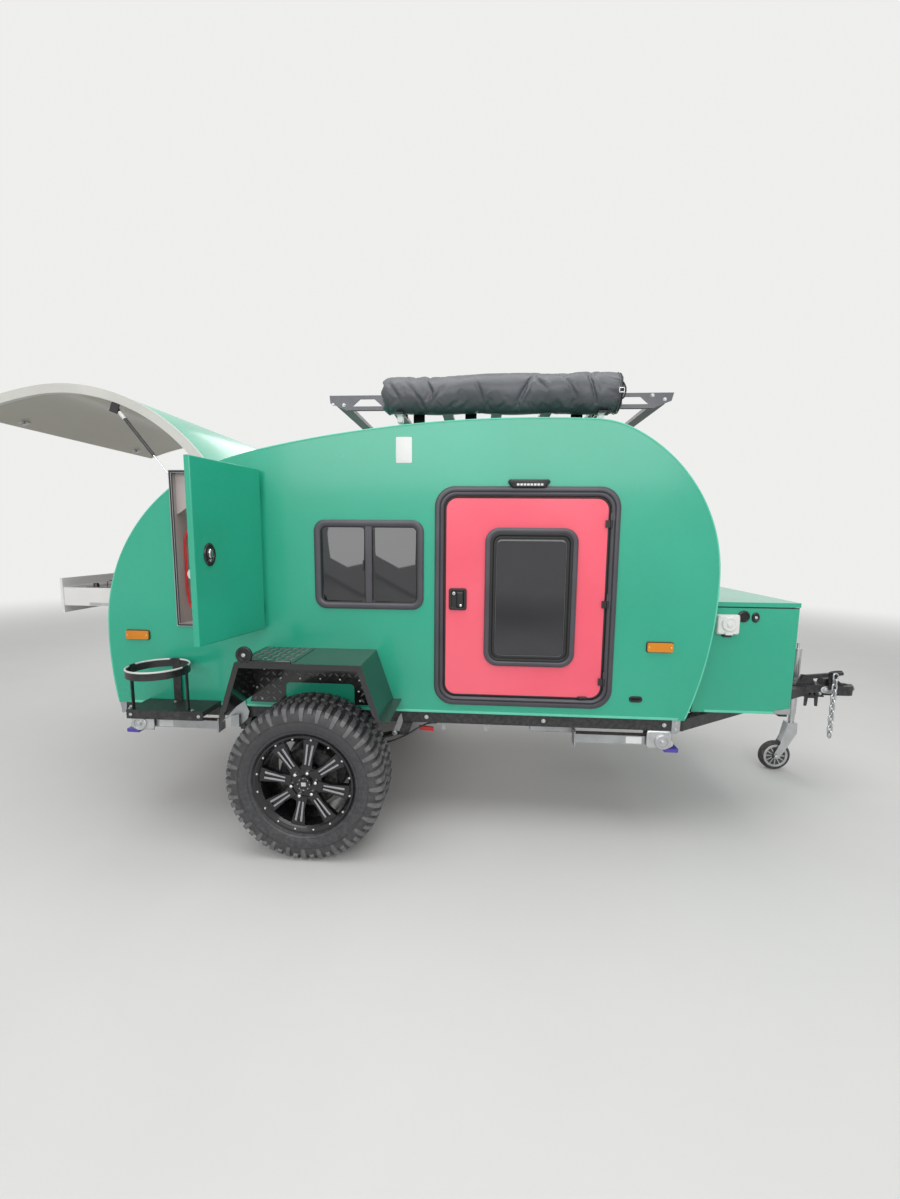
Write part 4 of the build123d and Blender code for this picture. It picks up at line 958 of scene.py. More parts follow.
@dataclass
class Studio:
    """Camera, lamps, floor and background."""

    eye: Point = (-2.3142, -3.2163, 0.9395)
    yaw: float = -3.8744
    pitch: float = 7.1982
    roll: float = 0.5661
    focal_px: float = 491.226
    picture_px: float = 1199.0
    ground: float = -0.62
    reach: float = 60.0
    pale: Colour = (0.86, 0.86, 0.85)
    glow: float = 0.55

    def camera(self) -> None:
        """Stand the camera where the photograph was taken: its right, up and backward columns."""
        yaw, pitch, roll = (math.radians(a) for a in (self.yaw, self.pitch, self.roll))
        ahead = np.array((math.sin(yaw), math.cos(yaw), 0.0))
        right = np.array((math.cos(yaw), -math.sin(yaw), 0.0))
        up = np.array((0.0, 0.0, 1.0))
        view = ahead * math.cos(pitch) - up * math.sin(pitch)
        rise = up * math.cos(pitch) + ahead * math.sin(pitch)
        across = right * math.cos(roll) + rise * math.sin(roll)
        above = rise * math.cos(roll) - right * math.sin(roll)
        data = bpy.data.cameras.new("camera")
        data.sensor_width, data.sensor_fit = 36.0, "AUTO"
        data.lens = 36.0 * self.focal_px / self.picture_px
        data.clip_start, data.clip_end = 0.05, 500.0
        bpy.context.scene.camera = stand("camera", data, across, above, -view, self.eye)

    def lamp(self, name: str, place: Point, aim: Point, size: Pair, watts: float) -> None:
        """A soft rectangular lamp at a place, facing a point.

        Args:
            name: Its name.
            place: Where its middle is.
            aim: The point.
            size: Its width and height.
            watts: Its power.
        """
        data = bpy.data.lights.new(name, "AREA")
        data.shape, data.size, data.size_y, data.energy = "RECTANGLE", size[0], size[1], watts
        back = unit(np.array(place) - np.array(aim))
        side = unit(np.cross((0.0, 0.0, 1.0), back)) if abs(back[2]) < 0.999 else np.array((1.0, 0.0, 0.0))
        stand(name, data, side, np.cross(back, side), back, place)

    def background(self) -> None:
        """A world that lights plainly and shows pale behind the trailer, in gloss and through glass."""
        paint = Paint(bpy.data.worlds.new("studio"))
        kinds = ("Is Camera Ray", "Is Glossy Ray", "Is Transmission Ray")
        camera, glossy, through = (paint.node("LightPath", output=kind) for kind in kinds)
        seen = camera.either(glossy).either(through)
        dim = paint.node("Background", {0: (1.0, 1.0, 1.0, 1.0), 1: self.glow})
        pale = paint.node("Background", {0: (*self.pale, 1.0), 1: 1.0})
        bpy.context.scene.world = paint.close(paint.node("MixShader", {0: seen, 1: dim, 2: pale}))

    def ground_plane(self) -> None:
        """A pale level floor that fades into the background far away."""
        paint = Paint(bpy.data.materials.new("studio_floor"))
        x, y, _ = paint.axes(paint.place())
        far = ((x + 3.0) ** 2.0 + y**2.0).fade(30.0, 170.0)
        colour = paint.blend(paint.noise(0.6, 4.0), (0.60, 0.60, 0.59), (0.64, 0.64, 0.63))
        sockets = {"Base Color": colour, "Roughness": 0.7, "Normal": paint.relief(paint.noise(0.01), 0.0002)}
        matt = paint.node("BsdfPrincipled", sockets)
        pale = paint.node("Emission", {0: (*self.pale, 1.0), 1: 1.0})
        material = paint.close(paint.node("MixShader", {0: far, 1: matt, 2: pale}))
        mesh = bpy.data.meshes.new("floor")
        corners = np.array(((-1, -1, 0), (1, -1, 0), (1, 1, 0), (-1, 1, 0))) * self.reach
        mesh.from_pydata((corners + (0.0, 0.0, self.ground)).tolist(), [], [[0, 1, 2, 3]])
        mesh.materials.append(material)
        stand("floor", mesh, *np.eye(3), (0, 0, 0))

    def build(self) -> None:
        """Set the stage."""
        self.camera()
        self.lamp("overhead", (-2.6, -1.2, 5.2), (-2.6, 0.0, 0.6), (6.0, 4.5), 210.0)
        self.lamp("near_side", (-2.4, -6.5, 3.2), (-2.4, 0.0, 0.6), (7.0, 3.0), 190.0)
        self.lamp("far_side", (-3.2, 6.5, 3.4), (-2.6, 0.0, 0.6), (6.0, 3.0), 110.0)
        self.background()
        self.ground_plane()
        bpy.context.scene.view_settings.view_transform = "Standard"


# ---------------------------------------------------------------- the body


@dataclass
class BodyShell:
    """Walls, roof, floor and bulkhead with their edge trims and small outside fittings."""

    bead_r: float = 0.0045
    strip: Box = (-1.07, 1.832, 0.651, 0.664)
    hatch_x: Pair = (-0.777, -0.318)
    lamp_x: Pair = (-1.064, 1.656)
    lamp_z: Pair = (1.004, 1.050)
    label: Box = (0.395, 0.474, 1.922, 2.046)
    vent: Box = (1.583, 1.649, 0.739, 0.771)
    light: Box = (0.947, 1.151, 1.802, 1.842)
    tail_lamp: Pair = (0.55, 0.623)
    sill_x: float = -1.135

    def dress_panels(self) -> None:
        """Paint the panels."""
        dress(Look.body, "side_wall_left", "side_wall_right", "roof_panel")
        dress(Look.floor, "floor_panel")
        dress(Look.laminate, "bulkhead")
        dress(Look.amber, "marker_lamps")
        dress(Look.red, "tail_lamps")

    def edge_beads(self) -> None:
        """A slim bead round each wall's outline, in a run before the hatch and a run behind it, painted paler than the
        body green as a painted highlight.
        """
        line, out = outline(0.0025, 0.02)
        section = self.bead_r * circle(around(10))
        beads = Shell()
        high = line[:, 1] > OUTLINE_FOOT
        for hand in HANDS:
            for run in (high & (line[:, 0] > self.hatch_x[1]), high & (line[:, 0] < self.hatch_x[0])):
                path = np.insert(line[run], 1, hand * (BODY_HALF - 0.002), axis=1)
                outward = np.insert(out[run], 1, 0.0, axis=1)
                beads.carried(path, (0.0, 1.0, 0.0), outward, section)
        beads.make("edge_beads", Look.bead)

    def foot_strips(self) -> None:
        """A pale angle along the foot of each wall, with its rivets."""
        strips, rivets = shells(2)
        for hand in HANDS:
            strips.block(flank(hand), self.strip, 0.0, 0.0025)
            places = [(x, 0.6575) for x in np.arange(-1.0, 1.8, 0.2)]
            rivets.heads(flank(hand, BODY_HALF + 0.0025), places, 0.0032, 0.0015, 10, 0.0)
        strips.make("foot_strips", Look.bead)
        rivets.make("foot_rivets", Look.bead)

    def lamps(self) -> None:
        """Black bases and screws of the marker lamps, and rims of the tail lamps."""
        bases, screws, rims = shells(3)
        middle = sum(self.lamp_z) / 2
        for hand in HANDS:
            for low in self.lamp_x:
                box = about(low + 0.0625, middle, 0.0665, 0.027)
                bases.raised(flank(hand), box, 0.011, mm(0, 0, 0, 3, 2, 4.5, 3.6, 4.5))
                spots = ((low + 0.009, middle), (low + 0.116, middle))
                screws.heads(flank(hand, BODY_HALF + 0.013), spots, 0.0035, 0.0012, 12, 0)
            box = about(hand * self.tail_lamp[0], self.tail_lamp[1], 0.114, 0.027)
            section = mm(0, 0, 0, 24.5, 3.5, 25.5, 3.5, 0)
            rims.raised(endwise(self.sill_x, -1), box, 0.006, section, ring=True)
        bases.make("lamp_bases", Look.plastic)
        screws.make("lamp_screws", Look.chrome)
        rims.make("tail_lamp_rims", Look.plastic)

    def fittings(self) -> None:
        """The blank label, the oval vents and the entry lights."""
        labels, vents, housings, diffusers = shells(4)
        labels.raised(flank(-1), self.label, 0.006, mm(0, 0, 0, 0.6, 0.6, 0.8))
        for hand in HANDS:
            side = flank(hand)
            rows = mm(0, 0, 0, 3, 2, 6, 7, 6.5, 9, 4, 11, 3.5)
            vents.raised(side, self.vent, 0.016, rows)
            for x in np.linspace(self.vent[0] + 0.018, self.vent[1] - 0.018, 5):
                vents.block(side, about(x, 0.755, 0.0012, 0.007), 0.003, 0.0062, 0.0005)
            x0, x1, z0, z1 = self.light
            corners = np.array((
                (x0 + 0.022, z0), (x1 - 0.022, z0), (x1 - 0.004, z0 + 0.022), (x1, z0 + 0.031),
                (x1 - 0.008, z1), (x0 + 0.008, z1), (x0, z0 + 0.031), (x0 + 0.004, z0 + 0.022),
            ))
            middle = corners.mean(0)
            spots = [middle + (corners - middle) * share for share in (1.0, 1.0, 0.96, 0.86)]
            levels = (0.0, 0.016, 0.024, 0.0285)
            housings.grid(np.stack([side.at(s[:, 0], s[:, 1], level) for s, level in zip(spots, levels)]))
            housings.block(side, (x0 + 0.036, x1 - 0.030, z0 + 0.006, z0 + 0.022), 0.024, 0.0300)
            for x in np.linspace(x0 + 0.048, x1 - 0.042, 8):
                diffusers.block(side, about(x, z0 + 0.014, 0.0062, 0.005), 0.028, 0.0315, 0.0012)
        labels.make("blank_label", Look.paper)
        vents.make("oval_vents", Look.plastic)
        housings.make("entry_lights", Look.plastic)
        diffusers.make("entry_light_lenses", Look.white)

    def build(self) -> None:
        """Dress the shell and add its trims."""
        self.dress_panels()
        self.edge_beads()
        self.foot_strips()
        self.lamps()
        self.fittings()


@dataclass
class MainDoor:
    """Both entry doors with frame mouldings, seals, windows, handles and catches."""

    frame: Box = (0.590, 1.494, 0.699, 1.810)
    corner: float = 0.100
    window: Box = (0.843, 1.297, 0.913, 1.610)
    window_corner: float = 0.070
    handle: Box = (0.663, 0.753, 1.195, 1.306)
    catch: Box = (1.325, 1.372, 0.747, 0.762)
    skin_y: float = 0.752
    glass_y: float = 0.758

    def frames(self) -> None:
        """A rounded moulding with a groove over each door frame, and the seal in the gap inside it."""
        dress(Look.graphite, "door_frames")
        section = mm(
            0, 1, 0.8, 7.5, 3.5, 11.5, 9, 13.8, 17, 14.5, 22.5, 13.2, 25.5, 8.8, 28.5, 8.8, 30.5, 12.2, 35, 13.5,
            40.5, 11.8, 44.5, 7.5, 44.7, 1,
        )
        seal = mm(45.3, -22, 45.3, -2, 46.3, 0, 48.2, 0, 49.2, -2, 49.2, -22)
        groove = mm(25, 7, 25, 9.4, 29, 9.4, 29, 7)
        frames, seals, lines = shells(3)
        for hand in HANDS:
            for shell, profile in ((frames, section), (seals, seal), (lines, groove)):
                shell.raised(flank(hand), self.frame, self.corner, profile, True, 14)
        frames.make("door_mouldings", Look.graphite)
        seals.make("door_seals", Look.seal)
        lines.make("door_groove_lines", Look.seal)

    def windows(self, name: str, hand: int) -> None:
        """Gasket, bright line and crowned pane of one door window.

        Args:
            name: The side's name.
            hand: The side's sign, -1 on the right and 1 on the left.
        """
        side = flank(hand, self.glass_y)
        body = "door_" + name
        dress(Look.graphite, "door_window_" + name)
        moulding = mm(0, 0, 0.3, 7, 2.5, 9.8, 7.5, 11.4, 14, 11.9, 20.5, 11.2, 24.5, 9.4, 25.6, 7, 25.6, 0)
        gasket = mm(
            25, 0, 25.2, 8.8, 27.5, 10.2, 32.5, 10.6, 37, 9.2, 39.2, 5, 40.5, 4.2, 42.5, 6, 48, 6.8, 53, 5.8,
            55.2, 3.4, 55.5, 0,
        )
        line = mm(55.3, 0, 55.3, 4, 55.8, 4.5, 56.4, 4.5, 56.8, 4, 56.8, 0)
        crown = [(0.0566, 0.0), (0.0566, 0.0028), (0.0575, 0.0038), (0.0595, 0.0044)]
        crown += [(0.0595 + 0.14 * s, 0.0044 + 0.0025 * (1 - (1 - s) ** 2)) for s in np.linspace(0.05, 1, 8)]
        for label, section, finish in (
            ("door_window_ring_", moulding, Look.graphite), ("door_gasket_", gasket, Look.seal),
            ("door_pane_line_", line, Look.pane_edge), ("door_pane_", crown, Look.pane),
        ):
            shell = Shell().raised(side, self.window, self.window_corner, section, label != "door_pane_", 12)
            shell.make(label + name, finish, body)
        trim = mm(50.2, 0, 50.4, 1.3, 52, 2, 56, 1.8, 57.8, 0.8, 58, 0)
        edge = Shell().raised(flank(hand, 0.7517), self.frame, self.corner, trim, True, 14)
        edge.make("door_edge_trim_" + name, Look.seal, body)

    def furniture(self, name: str, hand: int) -> None:
        """The flush handle with its paddle, lock and screw, and the small catch low on the door.

        Args:
            name: The side's name.
            hand: The side's sign, -1 on the right and 1 on the left.
        """
        side = flank(hand, self.skin_y)
        body = "door_" + name
        case, bright = shells(2)
        rows = mm(0, 0, 0, 7, 2.5, 11.5, 9, 12.5, 12.5, 11.8, 13.5, 5, 15, 4)
        case.raised(side, self.handle, 0.013, rows)
        paddle = mm(0, 3, 0, 9, 3, 12.5, 8, 14.5, 11.5, 15)
        case.raised(side, (0.701, 0.737, 1.211, 1.291), 0.006, paddle)
        case.block(side, (0.7395, 0.7425, 1.214, 1.288), 0.003, 0.009)
        case.raised(side, self.catch, 0.005, mm(0, 0, 0, 6, 2, 9, 4, 9.5))
        case.turned(side, (1.338, 0.7535), mm(0, 5, 14, 5, 16, 3), 14)
        bright.turned(side, (0.6885, 1.2795), mm(4, 8.5, 13.5, 8.5, 14.8, 7.2, 14.8, 0), 22)
        bright.turned(side, (0.7235, 1.2195), mm(14, 6.2, 15.5, 6.2, 16.5, 4, 16.5, 0), 18)
        case.block(side, (0.6875, 0.6895, 1.2745, 1.2845), 0.0146, 0.0154, 0.0003)
        case.make("door_handle_" + name, Look.plastic, body)
        bright.make("door_lock_" + name, Look.chrome, body)

    def build(self) -> None:
        """Dress both doors."""
        self.frames()
        for name, hand in SIDES:
            dress(Look.coral, "door_" + name)
            self.windows(name, hand)
            self.furniture(name, hand)


@dataclass
class SideWindows:
    """The two sliding windows behind the doors."""

    box: Box = (-0.026, 0.534, 1.192, 1.643)
    corner: float = 0.058
    bar: float = 0.018

    def build(self) -> None:
        """Round the frames, and add gaskets, panes and the slider's rails."""
        dress(Look.graphite, "side_windows")
        section = mm(0, 1, 0.6, 7.8, 3.5, 11.2, 10, 12.8, 21, 12.8, 27.5, 11.2, 31.5, 8.5, 32, 3.5)
        gasket = mm(31.8, 2, 31.8, 6.8, 34.5, 7.2, 37, 5, 37, 2)
        mouldings, gaskets, panes = shells(3)
        x0, x1, z0, z1 = self.box
        middle = (x0 + x1) / 2
        for hand in HANDS:
            side = flank(hand)
            mouldings.raised(side, self.box, self.corner, section, True, 12)
            gaskets.raised(side, self.box, self.corner, gasket, True, 12)
            bar = (middle - self.bar, middle + self.bar, z0 + 0.031, z1 - 0.031)
            mouldings.block(side, bar, 0.002, 0.0102, 0.004)
            for edge in (bar[0] - 0.0025, bar[1] + 0.0005):
                gaskets.block(side, (edge, edge + 0.002, z0 + 0.033, z1 - 0.033), 0.002, 0.0082, 0.0005)
            lip, gap = 0.0372, 0.0208
            for low, high, depth in ((x0 + lip, middle - gap, 0.0038), (middle + gap, x1 - lip, 0.0052)):
                rows = ((0, 0.0028), (0, depth), (0.0008, depth + 0.0005))
                panes.raised(side, (low, high, z0 + lip, z1 - lip), 0.022, rows, steps=6)
            gaskets.block(side, (middle - 0.030, middle - 0.0215, 1.39, 1.44), 0.003, 0.0085, 0.001)
        mouldings.make("window_mouldings", Look.graphite)
        gaskets.make("window_gaskets", Look.seal)
        panes.make("window_panes", Look.pane)


@dataclass
class ServiceHatches:
    """Side hatches near the back: panels, oval latches, frames and the shower behind the right one."""

    box: Box = (-0.777, -0.318, 1.080, 1.887)
    panel_y: float = 0.790
    hinge: Pair = (-0.312, 0.763)
    open_angle: float = 78.5
    latch: Pair = (-0.690, 1.475)
    hose: tuple[Point, ...] = mm(
        -592, -646, 1566, -640, -648, 1620, -715, -662, 1618, -755, -675, 1545, -758, -678, 1400, -758, -679, 1270,
        -742, -676, 1170, -668, -676, 1112, -590, -681, 1130, -560, -686, 1210, -618, -691, 1268, wide=3,
    )

    def latches(self, name: str, hand: int) -> None:
        """An oval bezel with a bright lever and a lock, on the panel's outer face.

        Args:
            name: The side's name.
            hand: The side's sign, -1 on the right and 1 on the left.
        """
        side = flank(hand, self.panel_y)
        bezel, lever = shells(2)
        bezel.turned(side, self.latch, LATCH_ROWS, 36, squeeze=(0.034, 0.051))
        rows = ((0.003, 1.0), (0.008, 1.0), (0.0105, 0.85), (0.0115, 0.5), (0.0115, 0.0))
        lever.turned(side, (self.latch[0], self.latch[1] + 0.004), rows, 24, squeeze=(0.0105, 0.021))
        lever.turned(side, (self.latch[0], self.latch[1] - 0.026), mm(3, 6, 8.5, 6, 9.5, 4.5), 16)
        for shell, label, finish in (
            (bezel, "hatch_latch_", Look.gloss_black), (lever, "hatch_lever_", Look.chrome),
        ):
            if hand < 0:
                shell.spin(self.open_angle, (self.hinge[0], -self.hinge[1], 0.0), (0, 0, 1))
            shell.make(label + name, finish, "hatch_" + name)

    def frames(self) -> None:
        """Bright outer and inner edges, and a dark seal between them."""
        dress(Look.hatch_frame, "hatch_frames")
        dress(Look.liner, "hatch_liners")
        edges, seals = shells(2)
        for hand in HANDS:
            side = flank(hand, BODY_HALF + 0.008)
            for low, high in mm(0, 2.6, 11.5, 13.9):
                middle = (low + high) / 2
                section = ((low, -0.001), (low, 0.001), (middle, 0.0018), (high, 0.001), (high, -0.001))
                edges.raised(side, self.box, 0.004, section, True, 4)
            section = mm(4.5, -1, 5, 2.2, 7, 3, 9, 2.2, 9.5, -1)
            seals.raised(side, self.box, 0.004, section, True, 4)
        edges.make("hatch_frame_edges", Look.silver_edge)
        seals.make("hatch_seals", Look.seal)

    def shower(self) -> None:
        """The hose, its hand piece and their grey ferrules."""
        dress(Look.hose, "shower_hose")
        hose = Shell().tube(flowing(self.hose, 10), 0.0062, 14, level=(0.3, 0.9, 0.3))
        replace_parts(hose.make("red_hose_line", Look.hose), "shower_hose")
        dress(Look.white, "shower_head")
        ferrules = Shell()
        low, high = mm(-592, -646, 1566, -606, -690, 1256, wide=3), mm(-604, -646, 1579.5, -624, -691.5, 1275, wide=3)
        for path in np.linspace(low, high, 4, axis=1):
            ferrules.tube(path, (0.0078, 0.0088, 0.0088, 0.0078), 16)
        ferrules.make("hose_ferrules", Look.bright_zinc)

    def build(self) -> None:
        """Dress both hatches."""
        self.frames()
        self.shower()
        for name, hand in SIDES:
            dress(Look.green, "hatch_" + name)
            self.latches(name, hand)


@dataclass
class Tailgate:
    """The rear lid with its white edge trims, latches and gas struts."""

    half: float = 0.714
    thick: float = 0.045
    foot: float = 0.690
    front: float = -0.591
    latch_y: float = 0.46
    latch_z: float = 0.748
    strut_y: float = 0.694
    strut: tuple[Pair, Pair] = ((-1.071, 2.200), (-0.720, 1.750))

    def trims(self) -> None:
        """A white channel over each side edge, carried along the lid's outline and turned open with it."""
        dress(Look.lid, "tailgate")
        line, out = outline(0.0, 0.02)
        run = (line[:, 0] < self.front - 0.002) & (line[:, 1] > self.foot + 0.002)
        outward = np.insert(out[run], 1, 0.0, axis=1)
        trims = Shell()
        for hand in HANDS:
            path = np.insert(line[run], 1, hand * self.half, axis=1)
            t, w = self.thick, 0.0013
            section = (
                (-0.014, w), (-0.004, w), (w, w * 0.4), (w, -t - w * 0.4), (-0.004, -t - w), (-0.020, -t - w),
                (-0.020, -t + 0.002), (-0.014, -0.002),
            )
            section = [(hand * a, b) for a, b in section]
            trims.carried(path, (0.0, 1.0, 0.0), outward, section)
        self.open(trims).make("lid_edge_trims", Look.trim_white, "tailgate")

    def open(self, shell: Shell) -> Shell:
        """Turn a shell from the closed lid's place to where the lid stands."""
        return shell.spin(LID_OPEN, (LID_HINGE[0], 0.0, LID_HINGE[1]), (0, 1, 0))

    def latches(self) -> None:
        """Two oval latches low on the lid's outside and their keepers inside."""
        line, out = outline(0.0, 0.01)
        pick = int(np.argmin(abs(line[:, 1] - self.latch_z) + (line[:, 0] > 0) * 9))
        base, facing = line[pick], out[pick]
        rise = np.array((-facing[1], facing[0]))
        bezel, lever, keepers = shells(3)
        for hand in HANDS:
            side = Datum(
                (base[0], hand * self.latch_y, base[1]), (0, 1, 0), (rise[0], 0, rise[1]), (facing[0], 0, facing[1])
            )
            latch(bezel, lever, side)
            inner = Datum(
                (base[0] - facing[0] * self.thick, hand * self.latch_y, base[1] - facing[1] * self.thick),
                (0, 1, 0), (rise[0], 0, rise[1]), (-facing[0], 0, -facing[1]),
            )
            keepers.block(inner, (-0.024, 0.024, -0.018, 0.018), -0.001, 0.003)
            keepers.turned(inner, (0.0, 0.0), mm(0, 11, 12, 11, 14, 9), 18)
            keepers.block(inner, (-0.009, 0.009, -0.034, 0.010), 0.013, 0.017, 0.0008)
            keepers.heads(inner, mm(-19, 0, 19, 0), 0.004, 0.006)
        self.open(bezel).make("lid_latches", Look.gloss_black, "tailgate")
        self.open(lever).make("lid_levers", Look.chrome, "tailgate")
        self.open(keepers).make("lid_keepers", Look.bright_zinc, "tailgate")

    def struts(self) -> None:
        """Paint the gas struts and add their white end sleeves."""
        top, foot = np.array(self.strut)
        run = unit(foot - top)
        for name, hand in SIDES:
            dress(Look.gloss_black, "strut_tube_" + name)
            dress(Look.chrome, "strut_rod_" + name)
            start = Datum((top[0], hand * self.strut_y, top[1]), (0, 1, 0), (run[1], 0, -run[0]), (run[0], 0, run[1]))
            rows = mm(16, 8.2, 16, 9.2, 18, 10.6, 56, 10.6, 60, 9.2, 60, 8.2)
            sleeve = Shell().turned(start, (0, 0), rows, 20, ring=True)
            sleeve.make("strut_sleeve_" + name, Look.white, "strut_tube_" + name)

    def build(self) -> None:
        """Dress the lid."""
        self.trims()
        self.latches()
        self.struts()


@dataclass
class Galley:
    """Cabinet and drawer in the back."""

    drawer_y: Pair = (-0.5895, -0.165)
    face_x: float = -1.564
    stove_z: float = 1.222
    stove_x: Pair = (-1.46, -1.06)
    burner_x: Pair = (-1.36, -1.17)
    runner: Box = (-1.40, -0.93, 1.1545, 1.1720)
    boards: tuple[tuple[float, Box], ...] = (
        (-1.045, (-0.609, 0.609, 1.3455, 1.3595)), (-0.560, (-0.609, 0.609, 1.6905, 1.7395)),
    )

    def build(self) -> None:
        """Dress the cabinet, edge its boards, and fit out the drawer."""
        dress(Look.laminate, "galley_cabinet", "galley_drawer")
        edging = Shell()
        for x, board in self.boards:
            edging.block(endwise(x, -1), board, 0.0, 0.0015, 0.0005)
        edging.make("board_edging", Look.graphite)
        low, high = self.drawer_y
        runners, grip, stove = shells(3)
        for y, way in ((low, -1), (high, 1)):
            runners.block(flank(way, abs(y)), self.runner, 0.0, 0.0004, 0.0001)
        front = endwise(self.face_x, -1)
        middle = (low + high) / 2
        rows = mm(0, 0, 0, 3, 3, 6, 9, 6, 11, 2)
        grip.raised(front, about(middle, 1.2435, 0.05, 0.0185), 0.010, rows)
        tray = deck(self.stove_z)
        stove.raised(tray, (*self.stove_x, low + 0.04, high - 0.04), 0.02, mm(0, -50, 0, 30, 4, 34, 20, 34))
        for x in self.burner_x:
            burner = mm(34, 55, 40, 55, 42, 50, 42, 22, 52, 22, 54, 18)
            stove.turned(tray, (x, middle), burner, 28)
            for angle in math.pi / 4 + np.arange(4) * math.pi / 2:
                ends = np.array(mm(20, 56, 50, 62, 75, 56, 75, 35))
                across = (x + ends[:, 0] * math.cos(angle), middle + ends[:, 0] * math.sin(angle))
                path = np.stack((*across, self.stove_z + ends[:, 1]), -1)
                stove.tube(path, 0.003, 8, level=(math.sin(angle), -math.cos(angle), 0.0))
        for y in (middle - 0.11, middle + 0.11):
            stove.turned(tray, (-1.435, y), mm(34, 16, 50, 14, 52, 12), 18)
        runners.make("drawer_runners", Look.bright_zinc, "galley_drawer")
        grip.make("drawer_grip", Look.plastic, "galley_drawer")
        stove.make("drawer_stove", Look.gloss_black, "galley_drawer")


@dataclass
class Wheels:
    """Both road wheels: tyres with their tread, and the rims' rivets, nuts and milled faces."""

    axle_z: float = 0.3875
    track: float = 0.9495
    pitches: int = 56
    rivet_r: float = 0.2285
    rivets: int = 16
    spokes: int = 8
    spoke_turn: float = 10.0
    nuts: int = 6
    nut_r: float = 0.0605
    lip: float = 0.1138
    face: float = 0.0960
    cap: float = 0.1118

    def at(self, hand: int, out: Any, radius: Any, angle: Any) -> Array:
        """Points at a distance out from the wheel's middle, a radius and an angle from the top.

        Args:
            hand: The side's sign, -1 on the right and 1 on the left.
            out: Distances from the wheel's middle plane.
            radius: Distances from its axis.
            angle: Angles from the top, in radians.

        Returns:
            The points, with x, y and z last.
        """
        out, radius, angle = np.broadcast_arrays(np.asarray(out, float), radius, angle)
        y = hand * (self.track + out)
        return np.stack((radius * np.sin(angle), y, self.axle_z + radius * np.cos(angle)), -1)

    def carcass(self, shell: Shell, hand: int) -> None:
        """The tyre's section turned round the axle: crown, shoulder, wall, rim ridge and bead.

        Args:
            shell: Gathers it.
            hand: The side's sign, -1 on the right and 1 on the left.
        """
        crown = mm(
            0, 377.5, 55, 376.8, 92, 374.5, 108, 370, 119, 360, 126.2, 344, 130.2, 325, 131.8, 305, 130.8, 288,
            127.5, 273.5, 121.5, 262.5,
        )
        foot = mm(120, 260, 119.6, 256, 116.5, 253.5, 113.5, 250.5, 110.2, 246.5, 108, 231)
        half = np.concatenate((flowing(crown, 4), foot))
        section = np.concatenate((half, half[::-1] * (-1, 1)))
        angle = around(160)[:, None]
        shell.grid(self.at(hand, section[:, 0], section[:, 1], angle), True)
        for mid, base in mm(269, 125.8, 313, 131.5, 317, 131.2):
            rib = np.array(mm(-1, -1.2, 0.9, -0.6, 0.9, 0.6, -1, 1.2)) + (base, mid)
            shell.grid(self.at(hand, rib[:, 0], rib[:, 1], angle), True)

    def lugs(self, shell: Shell, hand: int) -> None:
        """Shoulder lugs that wrap down the wall, and two rows of crown blocks; each repeats round the tyre.

        Args:
            shell: Gathers them.
            hand: The side's sign, -1 on the right and 1 on the left.
        """
        pitch = 2 * math.pi / self.pitches
        turns = np.arange(self.pitches) * pitch
        base = np.array(mm(68, 375.5, 94, 372.5, 112, 366, 123, 350, 128, 335, 130.5, 321))
        top = np.array(mm(66, 387.2, 98, 386.6, 116.5, 379.5, 128.8, 358, 132.2, 338, 131.6, 320.5))
        shift = np.array((0.0, 0.002, 0.006, 0.010, 0.012, 0.012))
        for long in (True, False):
            stations = slice(0, 6 if long else 4)
            wide = np.array((0.033, 0.036, 0.037, 0.034, 0.029, 0.022))[stations] * (1.0 if long else 0.92)
            lean = shift[stations]
            columns = (
                (base[stations], lean - wide), (top[stations], lean - 0.86 * wide),
                (top[stations], lean + 0.86 * wide), (base[stations], lean + wide),
            )
            out = np.stack([c[0][:, 0] for c in columns], -1)
            radius = np.stack([c[0][:, 1] for c in columns], -1)
            angle = np.stack([c[1] for c in columns], -1)
            own = turns[0 if long else 1 :: 2, None, None]
            shell.stamp(self.at(hand, out, radius, angle + own))
            shell.stamp(self.at(hand, -out, radius, angle + own + pitch / 2))
        step = np.array(mm(6, -34, 30, -44, 60, -30, 62, 12, 34, 2, 26, 26, 6, 30))
        middle = step.mean(0)
        rings = []
        for share, radius in ((1.0, 0.3740), (0.93, 0.3862), (0.86, 0.3874)):
            spot = middle + (step - middle) * share
            rings.append((spot[:, 0], radius - 0.0008 * (spot[:, 0] / 0.06) ** 2, spot[:, 1]))
        out, radius, angle = (np.stack([ring[k] for ring in rings]) for k in range(3))
        shell.stamp(self.at(hand, out, radius, angle + turns[:, None, None]))
        shell.stamp(self.at(hand, -out, radius, -angle + turns[:, None, None] + pitch / 2))

    def bars(self, hand: int, corners: Pairs, heights: Pair) -> Array:
        """Raised strips like one on the topmost spoke, repeated on each spoke and mirrored about its middle.

        Args:
            hand: The side's sign, -1 on the right and 1 on the left.
            corners: The first strip's corners: sideways, and up from the axle.
            heights: Its foot and its top, out from the wheel's middle plane.

        Returns:
            A grid of points for each strip.
        """
        spot = np.array(corners)
        both = np.stack((spot, spot * (-1, 1)))
        middle = both.mean(1, keepdims=True)
        rows = np.stack((both, both, middle + (both - middle) * (0.9, 0.995)), 1)
        out = np.array((heights[0], heights[1] - 0.0003, heights[1]))[None, :, None]
        radius, angle = np.hypot(rows[..., 0], rows[..., 1]), np.arctan2(rows[..., 0], rows[..., 1])
        turns = np.radians(self.spoke_turn + np.arange(self.spokes) * 360 / self.spokes)[:, None, None, None]
        points = self.at(hand, np.broadcast_to(out, radius.shape), radius, angle + turns)
        return points.reshape(-1, 3, len(corners), 3)

